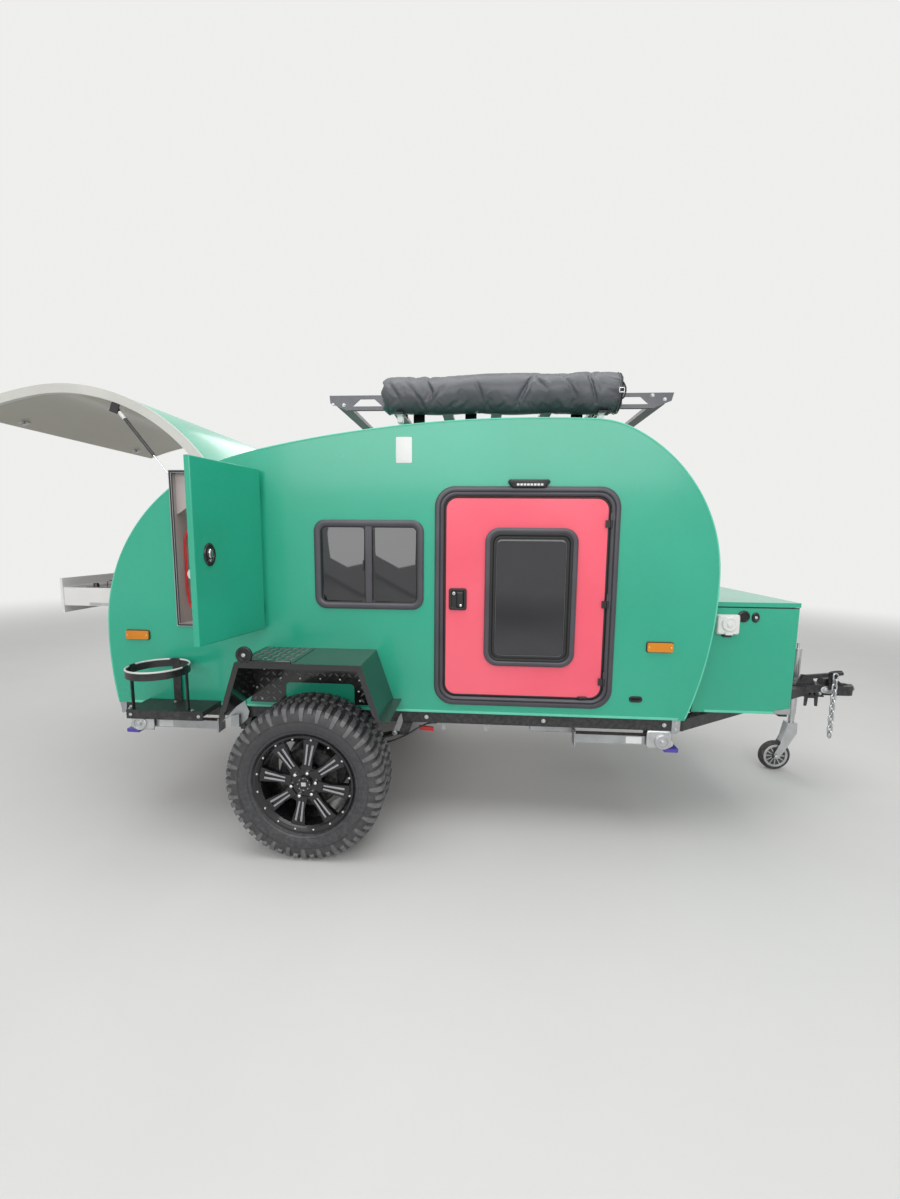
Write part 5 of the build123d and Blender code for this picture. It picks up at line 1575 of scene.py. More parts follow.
    def brightwork(self, name: str, hand: int) -> None:
        """Rivets, milled strips, nuts, the brake drum, the centre cap's plate and the valve.

        Args:
            name: The side's name.
            hand: The side's sign, -1 on the right and 1 on the left.
        """
        body = "wheel_" + name
        centre = np.array((0.0, self.axle_z))

        def ringed(count: int, radius: float, first: float = 0.0) -> Array:
            """Places evenly round the hub."""
            angle = np.radians(first) + np.arange(count) * 2 * math.pi / count
            return centre + radius * np.stack((np.sin(angle), np.cos(angle)), -1)

        lip, face, cap = (flank(hand, self.track + out) for out in (self.lip, self.face, self.cap))
        bright, dark, milled = shells(3)
        for place in ringed(self.rivets, self.rivet_r, 11.25):
            bright.turned(lip, place, mm(0, 6, 3.5, 6, 5.5, 4.8, 6.3, 2.3, 6.5, 0), 12)
        for place in ringed(self.nuts, self.nut_r, 20.0):
            dark.turned(face, place, mm(0, 14.5, 1.5, 14.5, 1.5, 0), 18)
            rows = mm(0, 10.5, 18, 10.5, 22, 9, 25, 5.5, 26.2, 0)
            bright.turned(face, place, rows, 6)
        bright.heads(flank(hand, self.track + self.cap - 0.0003), ringed(8, 0.0285), 0.0022, 0.0016, 8, 0.0)
        rows = mm(0, 0, 0, 1.2, 0.6, 1.8)
        bright.raised(cap, about(0.0, self.axle_z, 0.0115, 0.0095), 0.0015, rows, steps=3)
        dark.turned(cap, centre, mm(0, 34.5, 1.2, 33.5, 1.8, 31, 0.6, 29, -1, 29), 40)
        milled.stamp(self.bars(hand, mm(4.8, 94, 12.5, 94, 18.2, 196, 8.2, 196), (0.1010, 0.1026)))
        angle = math.radians(self.spoke_turn + 22.5)
        stem = self.at(hand, np.array((0.085, 0.100, 0.118)), np.array((0.216, 0.208, 0.200)), angle)
        dark.tube(stem, (0.0045, 0.004, 0.004), 10, level=(math.cos(angle), 0.0, -math.sin(angle)))
        rows = mm(-130, 80, -130, 160, -122, 166, -112, 160, -105, 152, 30, 150, 40, 142, 40, 80)
        drum = Shell().turned(flank(hand, self.track), (0.0, self.axle_z), rows, 48, ring=True)
        drum.make("brake_drum_" + name, Look.powder, body, "alloy")
        bright.make("wheel_nuts_" + name, Look.chrome, body)
        dark.make("wheel_cap_ring_" + name, Look.gloss_black, body, "alloy")
        milled.make("wheel_milling_" + name, Look.milled, body)

    def build(self) -> None:
        """Dress both wheels."""
        for name, hand in SIDES:
            dress(Look.alloy, "rim_" + name)
            tyre, tread = shells(2)
            self.carcass(tyre, hand)
            self.lugs(tread, hand)
            piece = tyre.make("carcass_tyre_" + name, Look.rubber, "wheel_" + name, smooth=28)
            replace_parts(piece, "tyre_" + name)
            tread.make("tread_lugs_" + name, Look.lug, "wheel_" + name, smooth=28)
            self.brightwork(name, hand)


def chequer(shell: Shell, datum: Datum, places: Array, long: float = 0.0150, wide: float = 0.0058) -> None:
    """Tread-plate bars: lens shapes at the places of a plane, each turned a quarter from its neighbours.

    Args:
        shell: What they are added to.
        datum: The plane.
        places: (n, 2) centres on a lattice, whose row and column decide which way each bar lies.
        long: Half length of a bar.
        wide: Its half width.
    """
    lens = np.array(((-1, 0), (-0.45, -0.85), (0.45, -0.85), (1, 0), (0.45, 0.85), (-0.45, 0.85)))
    lens = lens * (long, wide)
    rows = np.stack((lens, lens * (0.95, 0.8), lens * (0.8, 0.45)))
    order = np.round((places - places.min(0)) / CHEQUER_PITCH).astype(int).sum(1)
    turn = np.where(order % 2 == 0, 1, -1) * math.pi / 4
    c, s = np.cos(turn)[:, None, None], np.sin(turn)[:, None, None]
    a = places[:, 0][:, None, None] + rows[None, ..., 0] * c - rows[None, ..., 1] * s
    b = places[:, 1][:, None, None] + rows[None, ..., 0] * s + rows[None, ..., 1] * c
    height = np.array((-0.0002, 0.0014, 0.0022))[None, :, None]
    shell.stamp(datum.at(a, b, height))


def lattice(box: Box) -> Array:
    """Even rows of places inside a box."""
    across, upward = (np.arange(box[k], box[k + 1], CHEQUER_PITCH) for k in (0, 2))
    return np.stack(np.meshgrid(across, upward), -1).reshape(-1, 2)


# A dished rubber pad: heights and shares of its radius.
PAD_ROWS = ((-0.008, 0.94), (-0.006, 1.0), (0.006, 1.0), (0.009, 0.92), (0.009, 0.66), (0.004, 0.56), (0.004, 0.0))


@dataclass
class Fenders:
    """Both fenders: tread plate, rivets, the round pad on its arm at the back corner and the sheet brackets."""

    reach: float = 1.082
    top: float = 0.979
    face_y: float = 0.753
    sheet_y: float = 0.7545
    cut: Box = (-0.200, 0.170, 0.690, 0.790)
    pad: Pair = (-0.258, 1.0135)
    pad_r: float = 0.0385
    rivets: Pairs = mm(
        -314, 861, -226, 812, -120, 812, -12, 813, 94, 811, 197, 810, -357, 758, -329, 697, 192, 749, 199, 698,
    )
    skirts: tuple[Pairs, ...] = (
        mm(-397, 678, -200, 678, -200, 718, -384, 718),
        mm(170, 678, 386, 678, 373, 718, 170, 718),
    )
    rear_sheet: Pairs = mm(-556, 560, -423, 702, -421, 663, -403, 624, -414, 583, -458, 543, -498, 542, -495, 601)
    front_sheet: Pairs = mm(405, 621, 420, 644, 428, 598, 408, 544, 378, 547)

    def backing_places(self) -> Array:
        """Lattice places that lie on the backing plate, clear of its slopes and of the cut-out.

        Returns:
            The places, forward and up.
        """
        spots = lattice((-0.365, 0.37, 0.700, 0.97))
        x, z = spots.T
        share = (z - 0.715) / 0.26
        inside = (x > -0.385 + 0.085 * share + 0.018) & (x < 0.374 - 0.088 * share - 0.018) & (z < 0.958)
        x0, x1, _, z1 = self.cut
        opening = (x > x0 - 0.016) & (x < x1 + 0.016) & (z < z1 + 0.016)
        return spots[inside & ~opening]

    def build(self) -> None:
        """Dress the fenders."""
        dress(Look.gloss_black, "fenders")
        bars, plates, bolts, pads, sheets = shells(5)
        for hand in HANDS:
            chequer(bars, flank(hand, self.face_y + 0.0002), self.backing_places())
            for skirt in self.skirts:
                plates.plate(flank(hand), skirt, -0.001, 0.0031)
            top = Datum((0, hand * self.reach, self.top), (1, 0, 0), (0, -hand, 0), (0, 0, 1))
            chequer(bars, top, lattice((-0.265, -0.045, 0.035, 0.31)))
            plates.block(top, (-0.250, -0.038, 0.002, 0.016), -0.001, 0.0115, 0.003)
            plates.block(top, (-0.036, -0.030, 0.020, 0.31), -0.001, 0.0025)
            rim = flank(hand, self.reach - 0.009)
            pads.turned(rim, self.pad, PAD_ROWS, 36, squeeze=(self.pad_r, self.pad_r))
            bolts.turned(rim, self.pad, mm(3, 9.5, 10, 9.5, 11.5, 7), 6)
            rows = mm(0, 6.2, 2.2, 5.2, 3.4, 2.6, 3.6, 0)
            for place in self.rivets:
                bolts.turned(flank(hand, self.face_y), place, rows, 12)
            sheets.plate(flank(hand, self.sheet_y), self.rear_sheet, 0.0, 0.003)
            flange = mm(-498, 543, -452, 543, -452, 612, -496, 603)
            sheets.plate(flank(hand, self.sheet_y + 0.003), flange, 0.0, 0.020)
            sheets.plate(flank(hand, self.sheet_y), self.front_sheet, 0.0, 0.003)
        # The bars' lighter grey is a painted highlight.
        bars.make("fender_tread_bars", Look.painted_highlight_bar)
        plates.make("fender_plates", Look.gloss_black, slot="tread_plate")
        bolts.make("fender_bolts", Look.bright_zinc)
        pads.make("fender_pads", Look.plastic)
        sheets.make("fender_brackets", Look.zinc)


@dataclass
class RunningGear:
    """Axle, springs, dampers and cables."""

    clamp_z: float = 0.341
    clamp_x: float = 0.034
    clamp_y: Pair = (0.678, 0.752)
    shackle: Point = (0.384, 0.7592, 0.534)
    clip: Point = (0.20, 0.681, 0.473)

    def build(self) -> None:
        """Dress the gear, and add nuts and clips."""
        dress(Look.powder, "axle_beam", "leaf_springs", "spring_hangers")
        dress(Look.zinc, "shock_absorbers")
        dress(Look.seal, "brake_cables")
        nuts, clips = shells(2)
        for hand in HANDS:
            under = Datum((0, 0, self.clamp_z), (1, 0, 0), (0, -1, 0), (0, 0, -1))
            places = [(x, -hand * y) for x in (-self.clamp_x, self.clamp_x) for y in self.clamp_y]
            nuts.heads(under, places, 0.0085, 0.010)
            for way in (-1, 1):
                x, y, z = self.shackle
                nuts.heads(flank(hand, y), ((way * x, z),), 0.010, 0.009)
                x, y, z = self.clip
                clips.block(flank(hand, y), about(way * x, z, 0.02, 0.035), -0.002, 0.002)
        nuts.make("axle_nuts", Look.bright_zinc)
        clips.make("spring_clips", Look.powder)


@dataclass
class Chassis:
    """Rails, crossmembers and drawbar with their bolts, tags and end brackets."""

    rail_y: float = 0.740
    inner_y: float = 0.700
    bolt_z: float = 0.620
    bolt_x: tuple[float, ...] = (-1.08, -0.735, 0.55, 1.16, 1.77)
    tab_x: Pair = (0.640, 0.865)
    tray: Box = (1.10, 1.34, -0.66, -0.40)

    def build(self) -> None:
        """Dress the frame and add its small parts."""
        dress(Look.powder, "chassis_rails", "crossmembers", "drawbar_beams")
        bolts, ends, tags, trays = shells(4)
        for hand in HANDS:
            side = flank(hand, self.rail_y)
            bolts.heads(side, [(x, self.bolt_z) for x in self.bolt_x], 0.0075, 0.006)
            corner = mm(1806, 664, 1848, 660, 1846, 590, 1832, 576, 1806, 576)
            ends.plate(side, corner, 0.0, 0.004)
            ends.plate(side, mm(-1140, 652, -1100, 652, -1106, 592, -1128, 586), 0.0, 0.004)
            bolts.heads(flank(hand, self.rail_y + 0.004), mm(1827, 635, 1827, 600), 0.005, 0.004)
            tags.plate(flank(hand, self.inner_y), mm(508, 560, 584, 552, 586, 530, 510, 537), 0.0, 0.012)
            for x in self.tab_x:
                tab = ((x - 0.012, 0.592), (x + 0.012, 0.592), (x + 0.012, 0.545), (x - 0.012, 0.538))
                ends.plate(flank(hand, self.inner_y), tab, 0.0, 0.004)
        trays.block(deck(0.56, -1), self.tray, -0.035, 0.030, 0.004)
        trays.heads(deck(0.53, -1), mm(1130, -630, 1310, -630, 1130, -430, 1310, -430), 0.005, 0.004)
        bolts.make("frame_bolts", Look.bright_zinc)
        ends.make("frame_end_brackets", Look.zinc)
        tags.make("cable_tags", Look.red)
        trays.make("under_tray", Look.zinc)


@dataclass
class GasRing:
    """The gas bottle's ring with its pale cord edge, straps and bolts."""

    centre: Pair = (-0.790, -0.910)
    radius: float = 0.141
    top: float = 0.903
    legs: tuple[float, ...] = (0.0, 90.0, 180.0)
    tray_top: float = 0.676

    def arc(self, start: float, end: float, radius: float, height: float, count: int = 40) -> tuple[Array, Array]:
        """A level arc about the ring's middle.

        Args:
            start: Its first angle, in degrees.
            end: Its last angle.
            radius: Its radius.
            height: How high it lies.
            count: Points on it.

        Returns:
            Its points, and the outward direction at each.
        """
        angle = np.radians(np.linspace(start, end, count))
        outward = np.stack((np.cos(angle), np.sin(angle), 0 * angle), -1)
        return outward * radius + (*self.centre, height), outward

    def build(self) -> None:
        """Dress the ring and lay the edge between its legs."""
        dress(Look.powder, "gas_bottle_ring")
        edge, bolts, straps = shells(3)
        for start, end in ((0.0, 90.0), (90.0, 180.0), (180.0, 360.0)):
            path, _ = self.arc(start + 9.0, end - 9.0, self.radius, self.top + 0.001)
            edge.tube(path, 0.0046, 10, level=(0.0, 0.0, 1.0))
        section = mm(-4.5, -24, 5.5, -24, 5.5, 6, -4.5, 6)
        for leg in self.legs:
            half = 12.0 if leg == 90.0 else 7.5
            path, outward = self.arc(leg - half, leg + half, self.radius, self.top - 0.001, 9)
            straps.carried(path, outward, (0.0, 0.0, 1.0), section)
            spot, _ = self.arc(leg, leg, 0.166 if leg != 90.0 else 0.120, 0.0, 1)
            bolts.heads(deck(self.tray_top), ((spot[0, 0], spot[0, 1]),), 0.007, 0.006)
        lip = flank(-1, 0.930)
        bolts.heads(lip, mm(-940, 652, -582, 652), 0.006, 0.005)
        edge.make("ring_cord_edge", Look.rope)
        straps.make("ring_straps", Look.powder)
        bolts.make("ring_bolts", Look.bright_zinc)


@dataclass
class Stabilisers:
    """Four folding corner legs."""

    y: float = 0.702
    z: float = 0.528
    face: float = 0.036
    pivots: tuple[tuple[str, float, int], ...] = (("rear", -1.020, 1), ("front", 1.752, -1))

    def build(self) -> None:
        """Dress the legs; add pivot heads, gear cases, violet caps and blank labels."""
        dress(Look.zinc, "stabiliser_brackets")
        heads, caps, gears = shells(3)
        for end, pivot, way in self.pivots:
            for name, hand in SIDES:
                dress(Look.zinc, f"stabiliser_{end}_{name}")
                outer = flank(hand, self.y + self.face)
                pin = (pivot - way * 0.012, self.z + 0.004)
                heads.turned(outer, pin, mm(14, 17, 17, 17, 17, 11, 25, 11, 26, 9), 24)
                places = ((pivot - 0.044, 0.577), (pivot + 0.044, 0.577))
                heads.heads(flank(hand, self.y + self.face + 0.0065), places, 0.005, 0.005)
                tail = pivot - way * 0.050
                gears.turned(outer, (tail, self.z - 0.006), mm(0, 19, 4, 19, 6, 15, 6, 8, 14, 7, 14, 0), 14)
                span = sorted((pivot - way * 0.057, pivot + way * 0.066))
                rows = mm(0, -1, 0, 4, 4, 6.5, 10, 7)
                gears.raised(outer, (*span, 0.497, 0.588), 0.016, rows)
                rows = mm(6, 40, 14, 39.5, 18, 35, 18, 26, 15, 24, 15, 0)
                gears.turned(outer, pin, rows, 32)
                near, far = sorted((pivot - way * 0.027, pivot - way * 0.098))
                cover = (near, far, hand * self.y - 0.034, hand * self.y + 0.034)
                caps.block(deck(0.4915, -1), cover, -0.001, 0.020, 0.004)
                label = sorted((pivot + way * 0.085, pivot + way * 0.165))
                box = (*label, self.z - 0.018, self.z + 0.018)
                tag = Shell().raised(flank(hand, self.y + 0.0225), box, 0.002, mm(0, 0, 0, 0.5, 0.4, 0.6), steps=3)
                tag.make(f"leg_label_{end}_{name}", Look.paper, f"stabiliser_{end}_{name}")
        heads.make("stabiliser_pivot_heads", Look.bright_zinc)
        gears.make("stabiliser_gears", Look.bright_zinc)
        caps.make("stabiliser_caps", Look.violet)


@dataclass
class Toolbox:
    """The box on the drawbar, with its lid, inlet, vent, lock and corner pieces."""

    half: float = 0.650
    inlet: Box = (2.024, 2.135, 1.084, 1.185)
    vent: Pair = (2.160, 1.175)
    lock: Pair = (2.219, 1.171)
    front: float = 2.430
    latch_y: float = 0.42
    latch_z: float = 1.140

    def build(self) -> None:
        """Dress the box and its lid."""
        dress(Look.green, "toolbox", "toolbox_lid")
        side = flank(-1, self.half)
        white, black, bright = shells(3)
        rows = mm(0, 0, 0, 18, 3, 24, 8, 26, 12, 26)
        white.raised(side, self.inlet, 0.010, rows)
        x0, x1, z0, z1 = self.inlet
        middle = ((x0 + x1) / 2 + 0.002, (z0 + z1) / 2 + 0.004)
        flap = mm(20, 37, 30, 37, 33.5, 34, 33.5, 28.5, 31.5, 26, 31.5, 0)
        white.turned(side, middle, flap, 40)
        white.turned(side, middle, mm(31, 15, 36, 15, 37.5, 12.5, 37.5, 0), 24)
        white.block(side, about(middle[0], z0 + 0.004, 0.018, 0.006), 0.020, 0.033, 0.002)
        black.block(side, about(middle[0], z0 - 0.0075, 0.022, 0.0065), 0.0, 0.018, 0.003)
        for corner in ((x, z) for z in (z0 + 0.008, z1 - 0.008) for x in (x0 + 0.008, x1 - 0.008)):
            bright.turned(side, corner, mm(25, 3.2, 26.6, 3.2, 27.2, 0), 10)
        rows = mm(0, 30, 4, 30, 7.5, 26, 8.5, 22, 6, 20, 4.5, 20, 4.5, 0)
        black.turned(side, self.vent, rows, 36)
        for level in np.linspace(-0.014, 0.014, 5):
            reach = math.sqrt(0.020**2 - level**2)
            black.block(side, about(self.vent[0], self.vent[1] + level, reach, 0.0016), 0.004, 0.0075, 0.0008)
        rows = ((0, 1.0), (0.004, 1.0), (0.007, 0.9), (0.0078, 0.75), (0.006, 0.62), (0.006, 0.0))
        black.turned(side, self.lock, rows, 30, squeeze=(0.019, 0.026))
        bright.turned(side, self.lock, mm(5, 7, 8.5, 7, 9.2, 5, 9.2, 0), 18)
        for hand in HANDS:
            latch(black, bright, endwise(self.front, 1), (hand * self.latch_y, self.latch_z), 0.0)
        white.make("power_inlet", Look.white)
        black.make("toolbox_fittings", Look.plastic)
        bright.make("toolbox_locks", Look.chrome)
        corners, strips, seams = shells(3)
        for hand in HANDS:
            flat = flank(hand, self.half)
            corners.plate(flat, mm(2352, 666, 2352, 684, 2431, 700, 2431, 666), 0.0, 0.0022)
            strips.block(flat, (2.000, 2.352, 0.6655, 0.6790), 0.0, 0.0022)
            seams.block(flat, (2.026, 2.430, 1.2185, 1.2235), 0.0, 0.0015)
        corners.make("toolbox_corners", Look.zinc)
        strips.make("toolbox_foot_strips", Look.bead)
        seams.make("toolbox_lid_seal", Look.seal)


@dataclass
class Coupling:
    """The hitch head with its bolts, lever grips, end plates and chain."""

    cheek_y: float = 0.046
    links: int = 12
    chain_top: Point = (3.040, -0.076, 0.7173)
    link_pitch: float = 0.0337
    link_half: float = 0.010
    link_inside: float = 0.007
    link_bar: float = 0.0054

    def chain(self) -> None:
        """The chain: a round bar along two straights and two half circles, each link a quarter turn from the last."""
        dress(Look.bright_zinc, "safety_chain")
        bend = self.link_inside + self.link_bar
        angle = np.linspace(0, math.pi, 9)
        over = np.stack((bend * np.cos(angle), self.link_half + bend * np.sin(angle)), -1)
        loop = np.concatenate((over, -over))
        out = np.concatenate((circle(angle),) * 2)
        out[9:] *= -1
        turn = around(10)
        flat = loop[:, None] + self.link_bar * np.cos(turn)[:, None] * out[:, None]
        side = np.broadcast_to(self.link_bar * np.sin(turn), flat.shape[:2])
        chain = Shell()
        for count in range(self.links):
            height = self.chain_top[2] - count * self.link_pitch + flat[..., 1]
            wide = (flat[..., 0], side) if count % 2 == 0 else (side, flat[..., 0])
            points = np.stack((self.chain_top[0] + wide[0], self.chain_top[1] + wide[1], height), -1)
            chain.grid(points, True)
        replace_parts(chain.make("safety_chain_links", Look.bright_zinc), "safety_chain")

    def build(self) -> None:
        """Dress the hitch and the chain."""
        self.chain()
        dress(Look.powder, "coupling")
        dress(Look.zinc, "jockey_clamp")
        bolts, discs, grips = shells(3)
        plate = flank(-1, self.cheek_y)
        rows = ((-0.001, 1.0), (0.003, 1.0), (0.0045, 0.9), (0.0045, 0.62), (0.007, 0.58), (0.0085, 0.45), (0.009, 0.0))
        discs.turned(plate, (3.018, 0.6255), rows, 32, squeeze=(0.040, 0.024))
        rows = ((-0.006, 1.0), (0.000, 1.0), (0.0035, 0.9), (0.005, 0.6), (0.005, 0.0))
        discs.turned(endwise(3.1965, 1), (0.0, 0.632), rows, 32, squeeze=(0.028, 0.024))
        bolts.heads(plate, mm(2912, 600, 2940, 600, 2975, 600, 3068, 606), 0.0085, 0.008)
        bolts.heads(flank(1, self.cheek_y), mm(2912, 600, 3018, 625.5, 3068, 606), 0.0085, 0.008)
        bolts.heads(deck(0.650), mm(2820, -35, 2820, 35, 3050, 0), 0.0085, 0.008)
        grips.tube(mm(3050, -20, 727, 3080, -20, 730.5, 3112, -20, 734.5, wide=3), (0.0125, 0.0145, 0.0125), 18)
        grips.tube(mm(3110, -20, 734, 3118, -20, 735, wide=3), (0.0125, 0.006), 18)
        bolts.make("coupling_bolts", Look.bright_zinc)
        discs.make("coupling_end_plates", Look.bright_zinc)
        grips.make("lever_grip", Look.plastic)


@dataclass
class JockeyStand:
    """The jockey wheel with its tube, fork and crank."""

    x: float = 2.940
    y: float = 0.150
    hub: Pair = (2.850, 0.100)
    spokes: int = 12

    def build(self) -> None:
        """Dress the stand."""
        dress(Look.bright_zinc, "jockey_tube", "jockey_fork")
        dress(Look.jockey, "jockey_wheel")
        ribs, grip, nuts = shells(3)
        angle = around(self.spokes)
        for way in (-1, 1):
            face = flank(way, way * self.y + 0.0138)
            corners = np.array(mm(-2.8, 22, 2.8, 22, 3.4, 62.5, -3.4, 62.5))
            a = self.hub[0] + corners[:, 0] * np.cos(angle)[:, None] + corners[:, 1] * np.sin(angle)[:, None]
            b = self.hub[1] - corners[:, 0] * np.sin(angle)[:, None] + corners[:, 1] * np.cos(angle)[:, None]
            height = np.array((-0.002, 0.0052))[None, :, None]
            ribs.stamp(face.at(a[:, None], b[:, None], height))
            rows = mm(-2, 62.5, 8.5, 63.5, 9.2, 66.5, 9.2, 77.5, 8, 79, 0, 79)
            ribs.turned(face, self.hub, rows, 48, ring=True)
            nuts.heads(flank(way, way * self.y + 0.036), (self.hub,), 0.0095, 0.007)
        ribs.make("jockey_wheel_ribs", Look.bright_zinc, "jockey_wheel")
        nuts.make("jockey_axle_nuts", Look.chrome, "jockey_fork")
        path = [(self.x, 0.250, z) for z in (0.879, 0.884, 0.920, 0.960, 0.969, 0.9715)]
        grip.tube(path, (0.0115, 0.0145, 0.0160, 0.0145, 0.011, 0.004), 20, level=(1.0, 0.0, 0.0))
        grip.make("jockey_crank_grip", Look.plastic, "jockey_tube", "wheel_plastic")


@dataclass
class RoofRack:
    """The rack's plates, slats and bolts."""

    half: float = 0.525
    bolt_z: float = 2.259
    bolt_x: tuple[float, ...] = (0.342, 1.442, 0.617, 0.892, 1.167)
    clamp_x: Pair = (0.400, 1.400)
    clamp_y: float = -0.640
    clamp_z: float = 2.1736

    def build(self) -> None:
        """Dress the rack."""
        dress(Look.rack, "roof_rack")
        dress(Look.powder, "rack_slats")
        bolts, clamps = shells(2)
        for hand in HANDS:
            side = flank(hand, self.half)
            places = mm(15, 2258, 75, 2256, 1683, 2292, 1745, 2272)
            bolts.heads(side, (*places, *((x, self.bolt_z) for x in self.bolt_x)), 0.0065, 0.005)
        for x in self.clamp_x:
            clamps.block(deck(self.clamp_z, -1), about(x, self.clamp_y, 0.013, 0.022), 0.0, 0.040, 0.003)
            clamps.block(deck(self.clamp_z, -1), about(x, self.clamp_y, 0.018, 0.028), 0.0, 0.004, 0.001)
        bolts.make("rack_bolts", Look.zinc)
        clamps.make("awning_clamps", Look.white)


@dataclass
class AwningBag:
    """The rolled awning in its vinyl bag: a lofted roll, creased and gathered, that the cloth solver settles."""

    centre: Pair = (-0.632, 2.266)
    ends: Pair = (0.318, 1.492)
    radii: Pair = (0.0880, 0.0975)
    lift: float = 0.006
    rounding: float = 0.024
    voxel: float = 0.0065
    pressure: float = 4.0
    slack: float = 0.035
    cap: float = 0.009
    frames: int = 20
    crease_w: float = 0.009
    bank: Point = (0.7, 0.019, 0.011)
    folds: tuple[tuple[float, float, float, float, float], ...] = (
        (0.735, 142, 0.660, 218, 9.0), (0.735, 142, 0.815, 186, 8.0), (0.660, 218, 0.590, 196, 5.0),
        (0.10, 138, 0.205, 214, 5.0), (0.21, 128, 0.255, 186, 6.0), (0.23, 222, 0.335, 158, 5.5),
        (0.30, 236, 0.43, 204, 4.0), (0.46, 148, 0.50, 214, 4.0), (0.53, 240, 0.61, 224, 4.5),
        (0.88, 146, 0.955, 208, 4.5), (1.00, 134, 1.045, 220, 5.0), (1.05, 172, 1.145, 196, 4.0),
        (0.03, 150, 0.09, 200, 4.0), (0.30, 80, 0.42, 20, 6.0), (0.62, 60, 0.70, -30, 6.0), (0.95, 70, 0.90, 0, 6.0),
        (0.15, 40, 0.10, -40, 5.0), (1.06, 100, 1.13, 50, 4.0),
    )

    def axis(self, along: Any) -> tuple[Any, Any]:
        """The roll's radius and the height of its middle at a share of its length, both straight lines."""
        radius = self.radii[0] + (self.radii[1] - self.radii[0]) * along
        return radius, self.centre[1] + self.lift * along

    def crease(self, s: Array, angle: Array) -> Array:
        """Depth of the folds at distances along and angles round the roll.

        A fold follows a line between two points of the unrolled skin. Across it the depth is
        exp(-(d / width)²) less a share of a bank of that shape beside it, and along it the depth is a sine arch.

        Args:
            s: Distances from the rear end.
            angle: Angles from the left, in radians.

        Returns:
            Depths in metres.
        """
        total = 0.0 * (s + angle)
        for s0, a0, s1, a1, depth in self.folds:
            first, last = (np.array((s, math.radians(a) * self.radii[0])) for s, a in ((s0, a0), (s1, a1)))
            run = last - first
            length = float(np.hypot(*run))
            for turn in (0.0, 2 * math.pi):
                u, v = s - first[0], (angle - turn) * self.radii[0] - first[1]
                t = (u * run[0] + v * run[1]) / length**2
                d = (u * run[1] - v * run[0]) / length
                arch = np.sin(math.pi * t.clip(0, 1)) ** 0.7
                share, away, wide = self.bank
                bank = share * np.exp(-(((d - away) / wide) ** 2))
                total += 0.001 * depth * arch * (np.exp(-((d / self.crease_w) ** 2)) - bank)
        return total

    def skin(self) -> Array:
        """The roll's grid: circles whose radius grows to the front, rounds off at the ends and takes the folds.

        Returns:
            (stations, around, 3) points.
        """
        length, edge = self.ends[1] - self.ends[0], self.rounding
        turn = edge * (1 - np.cos(np.linspace(0, math.pi / 2, 8)[:-1]))
        s = np.concatenate((turn, np.linspace(edge, length - edge, 220), length - turn[::-1]))[:, None]
        off = 1 - np.minimum(s, length - s).clip(0, edge) / edge
        angle = around(128)[None]
        radius, height = self.axis(s / length)
        gather = np.exp(-(((length - s) / 0.05) ** 2)) * abs(np.sin(8 * angle + 1.2 * np.sin(3 * angle)))
        low = (-np.sin(angle)).clip(0, 1)
        reach = radius - edge * (1 - np.sqrt(1 - off**2)) - self.crease(s, angle) - 0.0055 * gather
        reach = reach - 0.003 * low * (1 + np.sin(2 * math.pi * s / 0.37))
        ends_in = 0.008 * np.cos(5 * angle) * (off > 0.8) * np.sign(length / 2 - s)
        x = self.ends[0] + s + ends_in * off + 0 * angle
        return np.stack((x, self.centre[0] + reach * np.cos(angle), height + reach * np.sin(angle)), -1)

    def bake(self, bag: bpy.types.Object) -> None:
        """Apply the bag's modifiers to its mesh.

        Args:
            bag: The bag.
        """
        graph = bpy.context.evaluated_depsgraph_get()
        mesh = bpy.data.meshes.new_from_object(bag.evaluated_get(graph))
        bag.modifiers.clear()
        bag.data = mesh
        mesh.shade_smooth()

    def settle(self, bag: bpy.types.Object) -> None:
        """Wrinkle the vinyl: even squares, cloth a little too large under pressure, and a cap on each move.

        Args:
            bag: The bag.
        """
        even = bag.modifiers.new("even", "REMESH")
        even.mode, even.voxel_size = "VOXEL", self.voxel
        self.bake(bag)
        rest = np.empty(len(bag.data.vertices) * 3)
        bag.data.vertices.foreach_get("co", rest)
        place = rest.reshape(-1, 3) - FRAME_SHIFT
        held = (place[:, 0] < self.ends[0] + 0.03) | (place[:, 0] > self.ends[1] - 0.03) | (place[:, 2] < 2.182)
        group = bag.vertex_groups.new(name="held")
        group.add(np.flatnonzero(held).tolist(), 1.0, "REPLACE")
        cloth = bag.modifiers.new("cloth", "CLOTH")
        cloth.settings.quality = 5
        cloth.settings.vertex_group_mass = "held"
        cloth.settings.use_pressure = True
        cloth.settings.uniform_pressure_force = self.pressure
        cloth.settings.shrink_min = -self.slack
        cloth.settings.bending_stiffness = 0.4
        cloth.settings.effector_weights.gravity = 0.0
        cloth.collision_settings.use_collision = False
        cloth.point_cache.frame_end = self.frames
        for step in range(1, self.frames + 1):
            bpy.context.scene.frame_set(step)
        self.bake(bag)
        found = np.empty(rest.size)
        bag.data.vertices.foreach_get("co", found)
        move = (found - rest).reshape(-1, 3)
        size = np.linalg.norm(move, axis=1, keepdims=True)
        capped = move * np.minimum(1.0, self.cap / np.maximum(size, 1e-9))
        bag.data.vertices.foreach_set("co", rest + capped.ravel())
        bpy.context.scene.frame_set(1)
        bag.vertex_groups.clear()
        rounder = bag.modifiers.new("rounding", "SUBSURF")
        rounder.levels = rounder.render_levels = 1
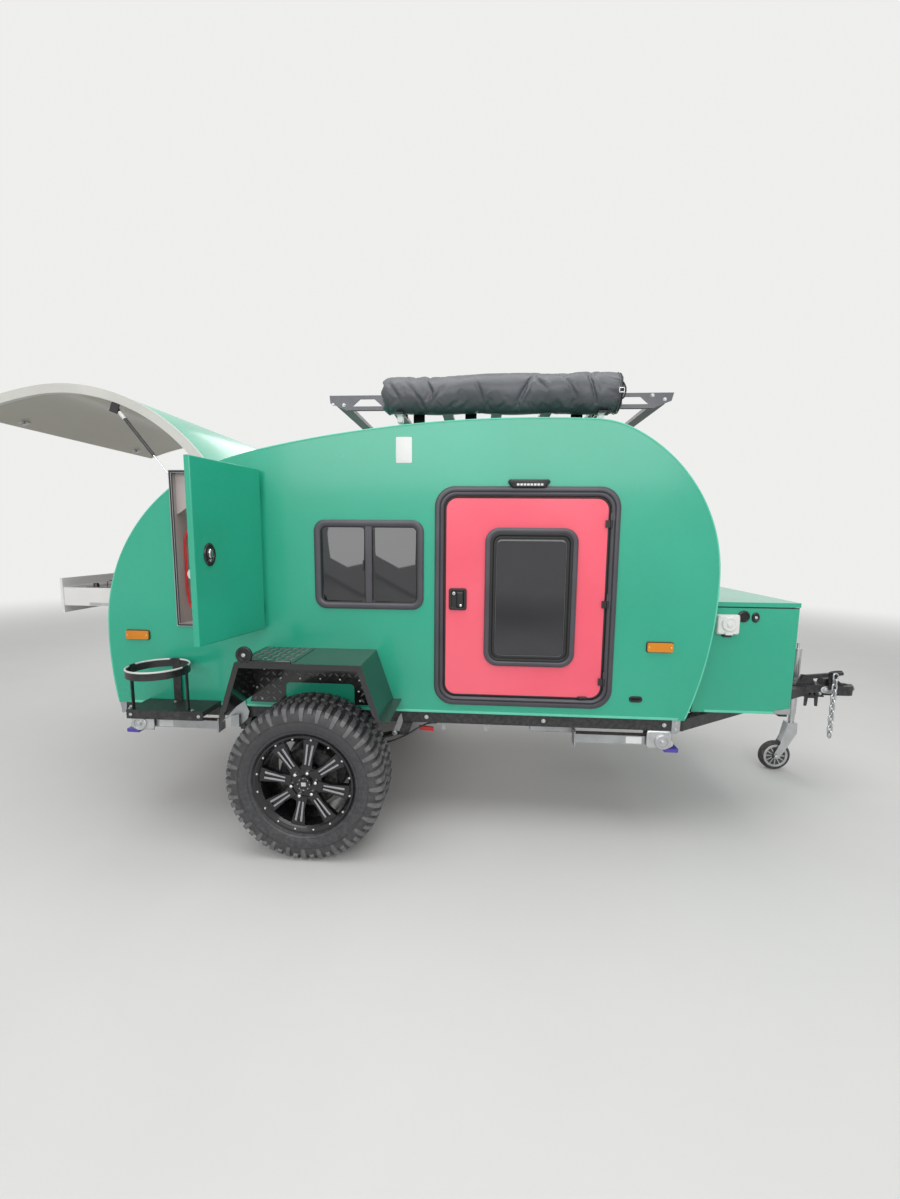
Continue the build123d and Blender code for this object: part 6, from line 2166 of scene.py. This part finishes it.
        log.info("vinyl_bag: moved by up to %.1f mm", 1000 * float(np.linalg.norm(capped, axis=1).max()))

    def build(self) -> None:
        """Loft the bag, settle it, and add the drawstring, the seams and the buckle at its front end."""
        bag = Shell().grid(self.skin()).make("vinyl_bag", Look.vinyl, smooth=180)
        self.settle(bag)
        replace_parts(bag, "awning_bag")
        cords, buckles, welts = shells(3)
        angle = around(64)
        out = np.stack((0 * angle, np.cos(angle), np.sin(angle)), -1)
        for x, shell, deep in ((0.340, welts, 0.0016), (1.470, welts, 0.0016), (1.480, cords, 0.0045)):
            radius, height = self.axis((x - self.ends[0]) / (self.ends[1] - self.ends[0]))
            path = out * (radius - deep) + (x, self.centre[0], height)
            section = mm(-2.8, -2, 2.8, -2, 2.8, 0.8, 0, 2, -2.8, 0.8)
            shell.carried(path, (1.0, 0.0, 0.0), out, section, loop=True)
        tail = mm(1482, -724, 2300, 1492, -734, 2270, 1488, -735, 2235, 1470, -722, 2212, wide=3)
        cords.tube(flowing(tail, 8), 0.0032, 8, level=(0.0, 0.0, 1.0))
        cords.block(deck(2.176, -1), about(1.430, -0.650, 0.012, 0.04), -0.002, 0.0025)
        section = mm(0, 0, 0, 4, 2, 5, 4, 4, 4, 0)
        buckles.raised(flank(-1, 0.7275), about(1.476, 2.262, 0.014, 0.012), 0.004, section, True, 4)
        cords.make("bag_drawstring", Look.seal, slot="awning_vinyl")
        welts.make("bag_seams", Look.vinyl)
        buckles.make("bag_buckle", Look.bright_zinc)


def main() -> None:
    """Build the studio and every sub-assembly in turn."""
    logging.basicConfig(level=logging.INFO, format="%(name)s %(message)s")
    assemblies = (
        Studio(), BodyShell(), MainDoor(), SideWindows(), ServiceHatches(), Tailgate(), Galley(), Wheels(), Fenders(),
        RunningGear(), Chassis(), GasRing(), Stabilisers(), Toolbox(), Coupling(), JockeyStand(), RoofRack(),
        AwningBag(),
    )
    for assembly in assemblies:
        log.info("building %s", type(assembly).__name__)
        assembly.build()


if __name__ == "__main__":
    main()
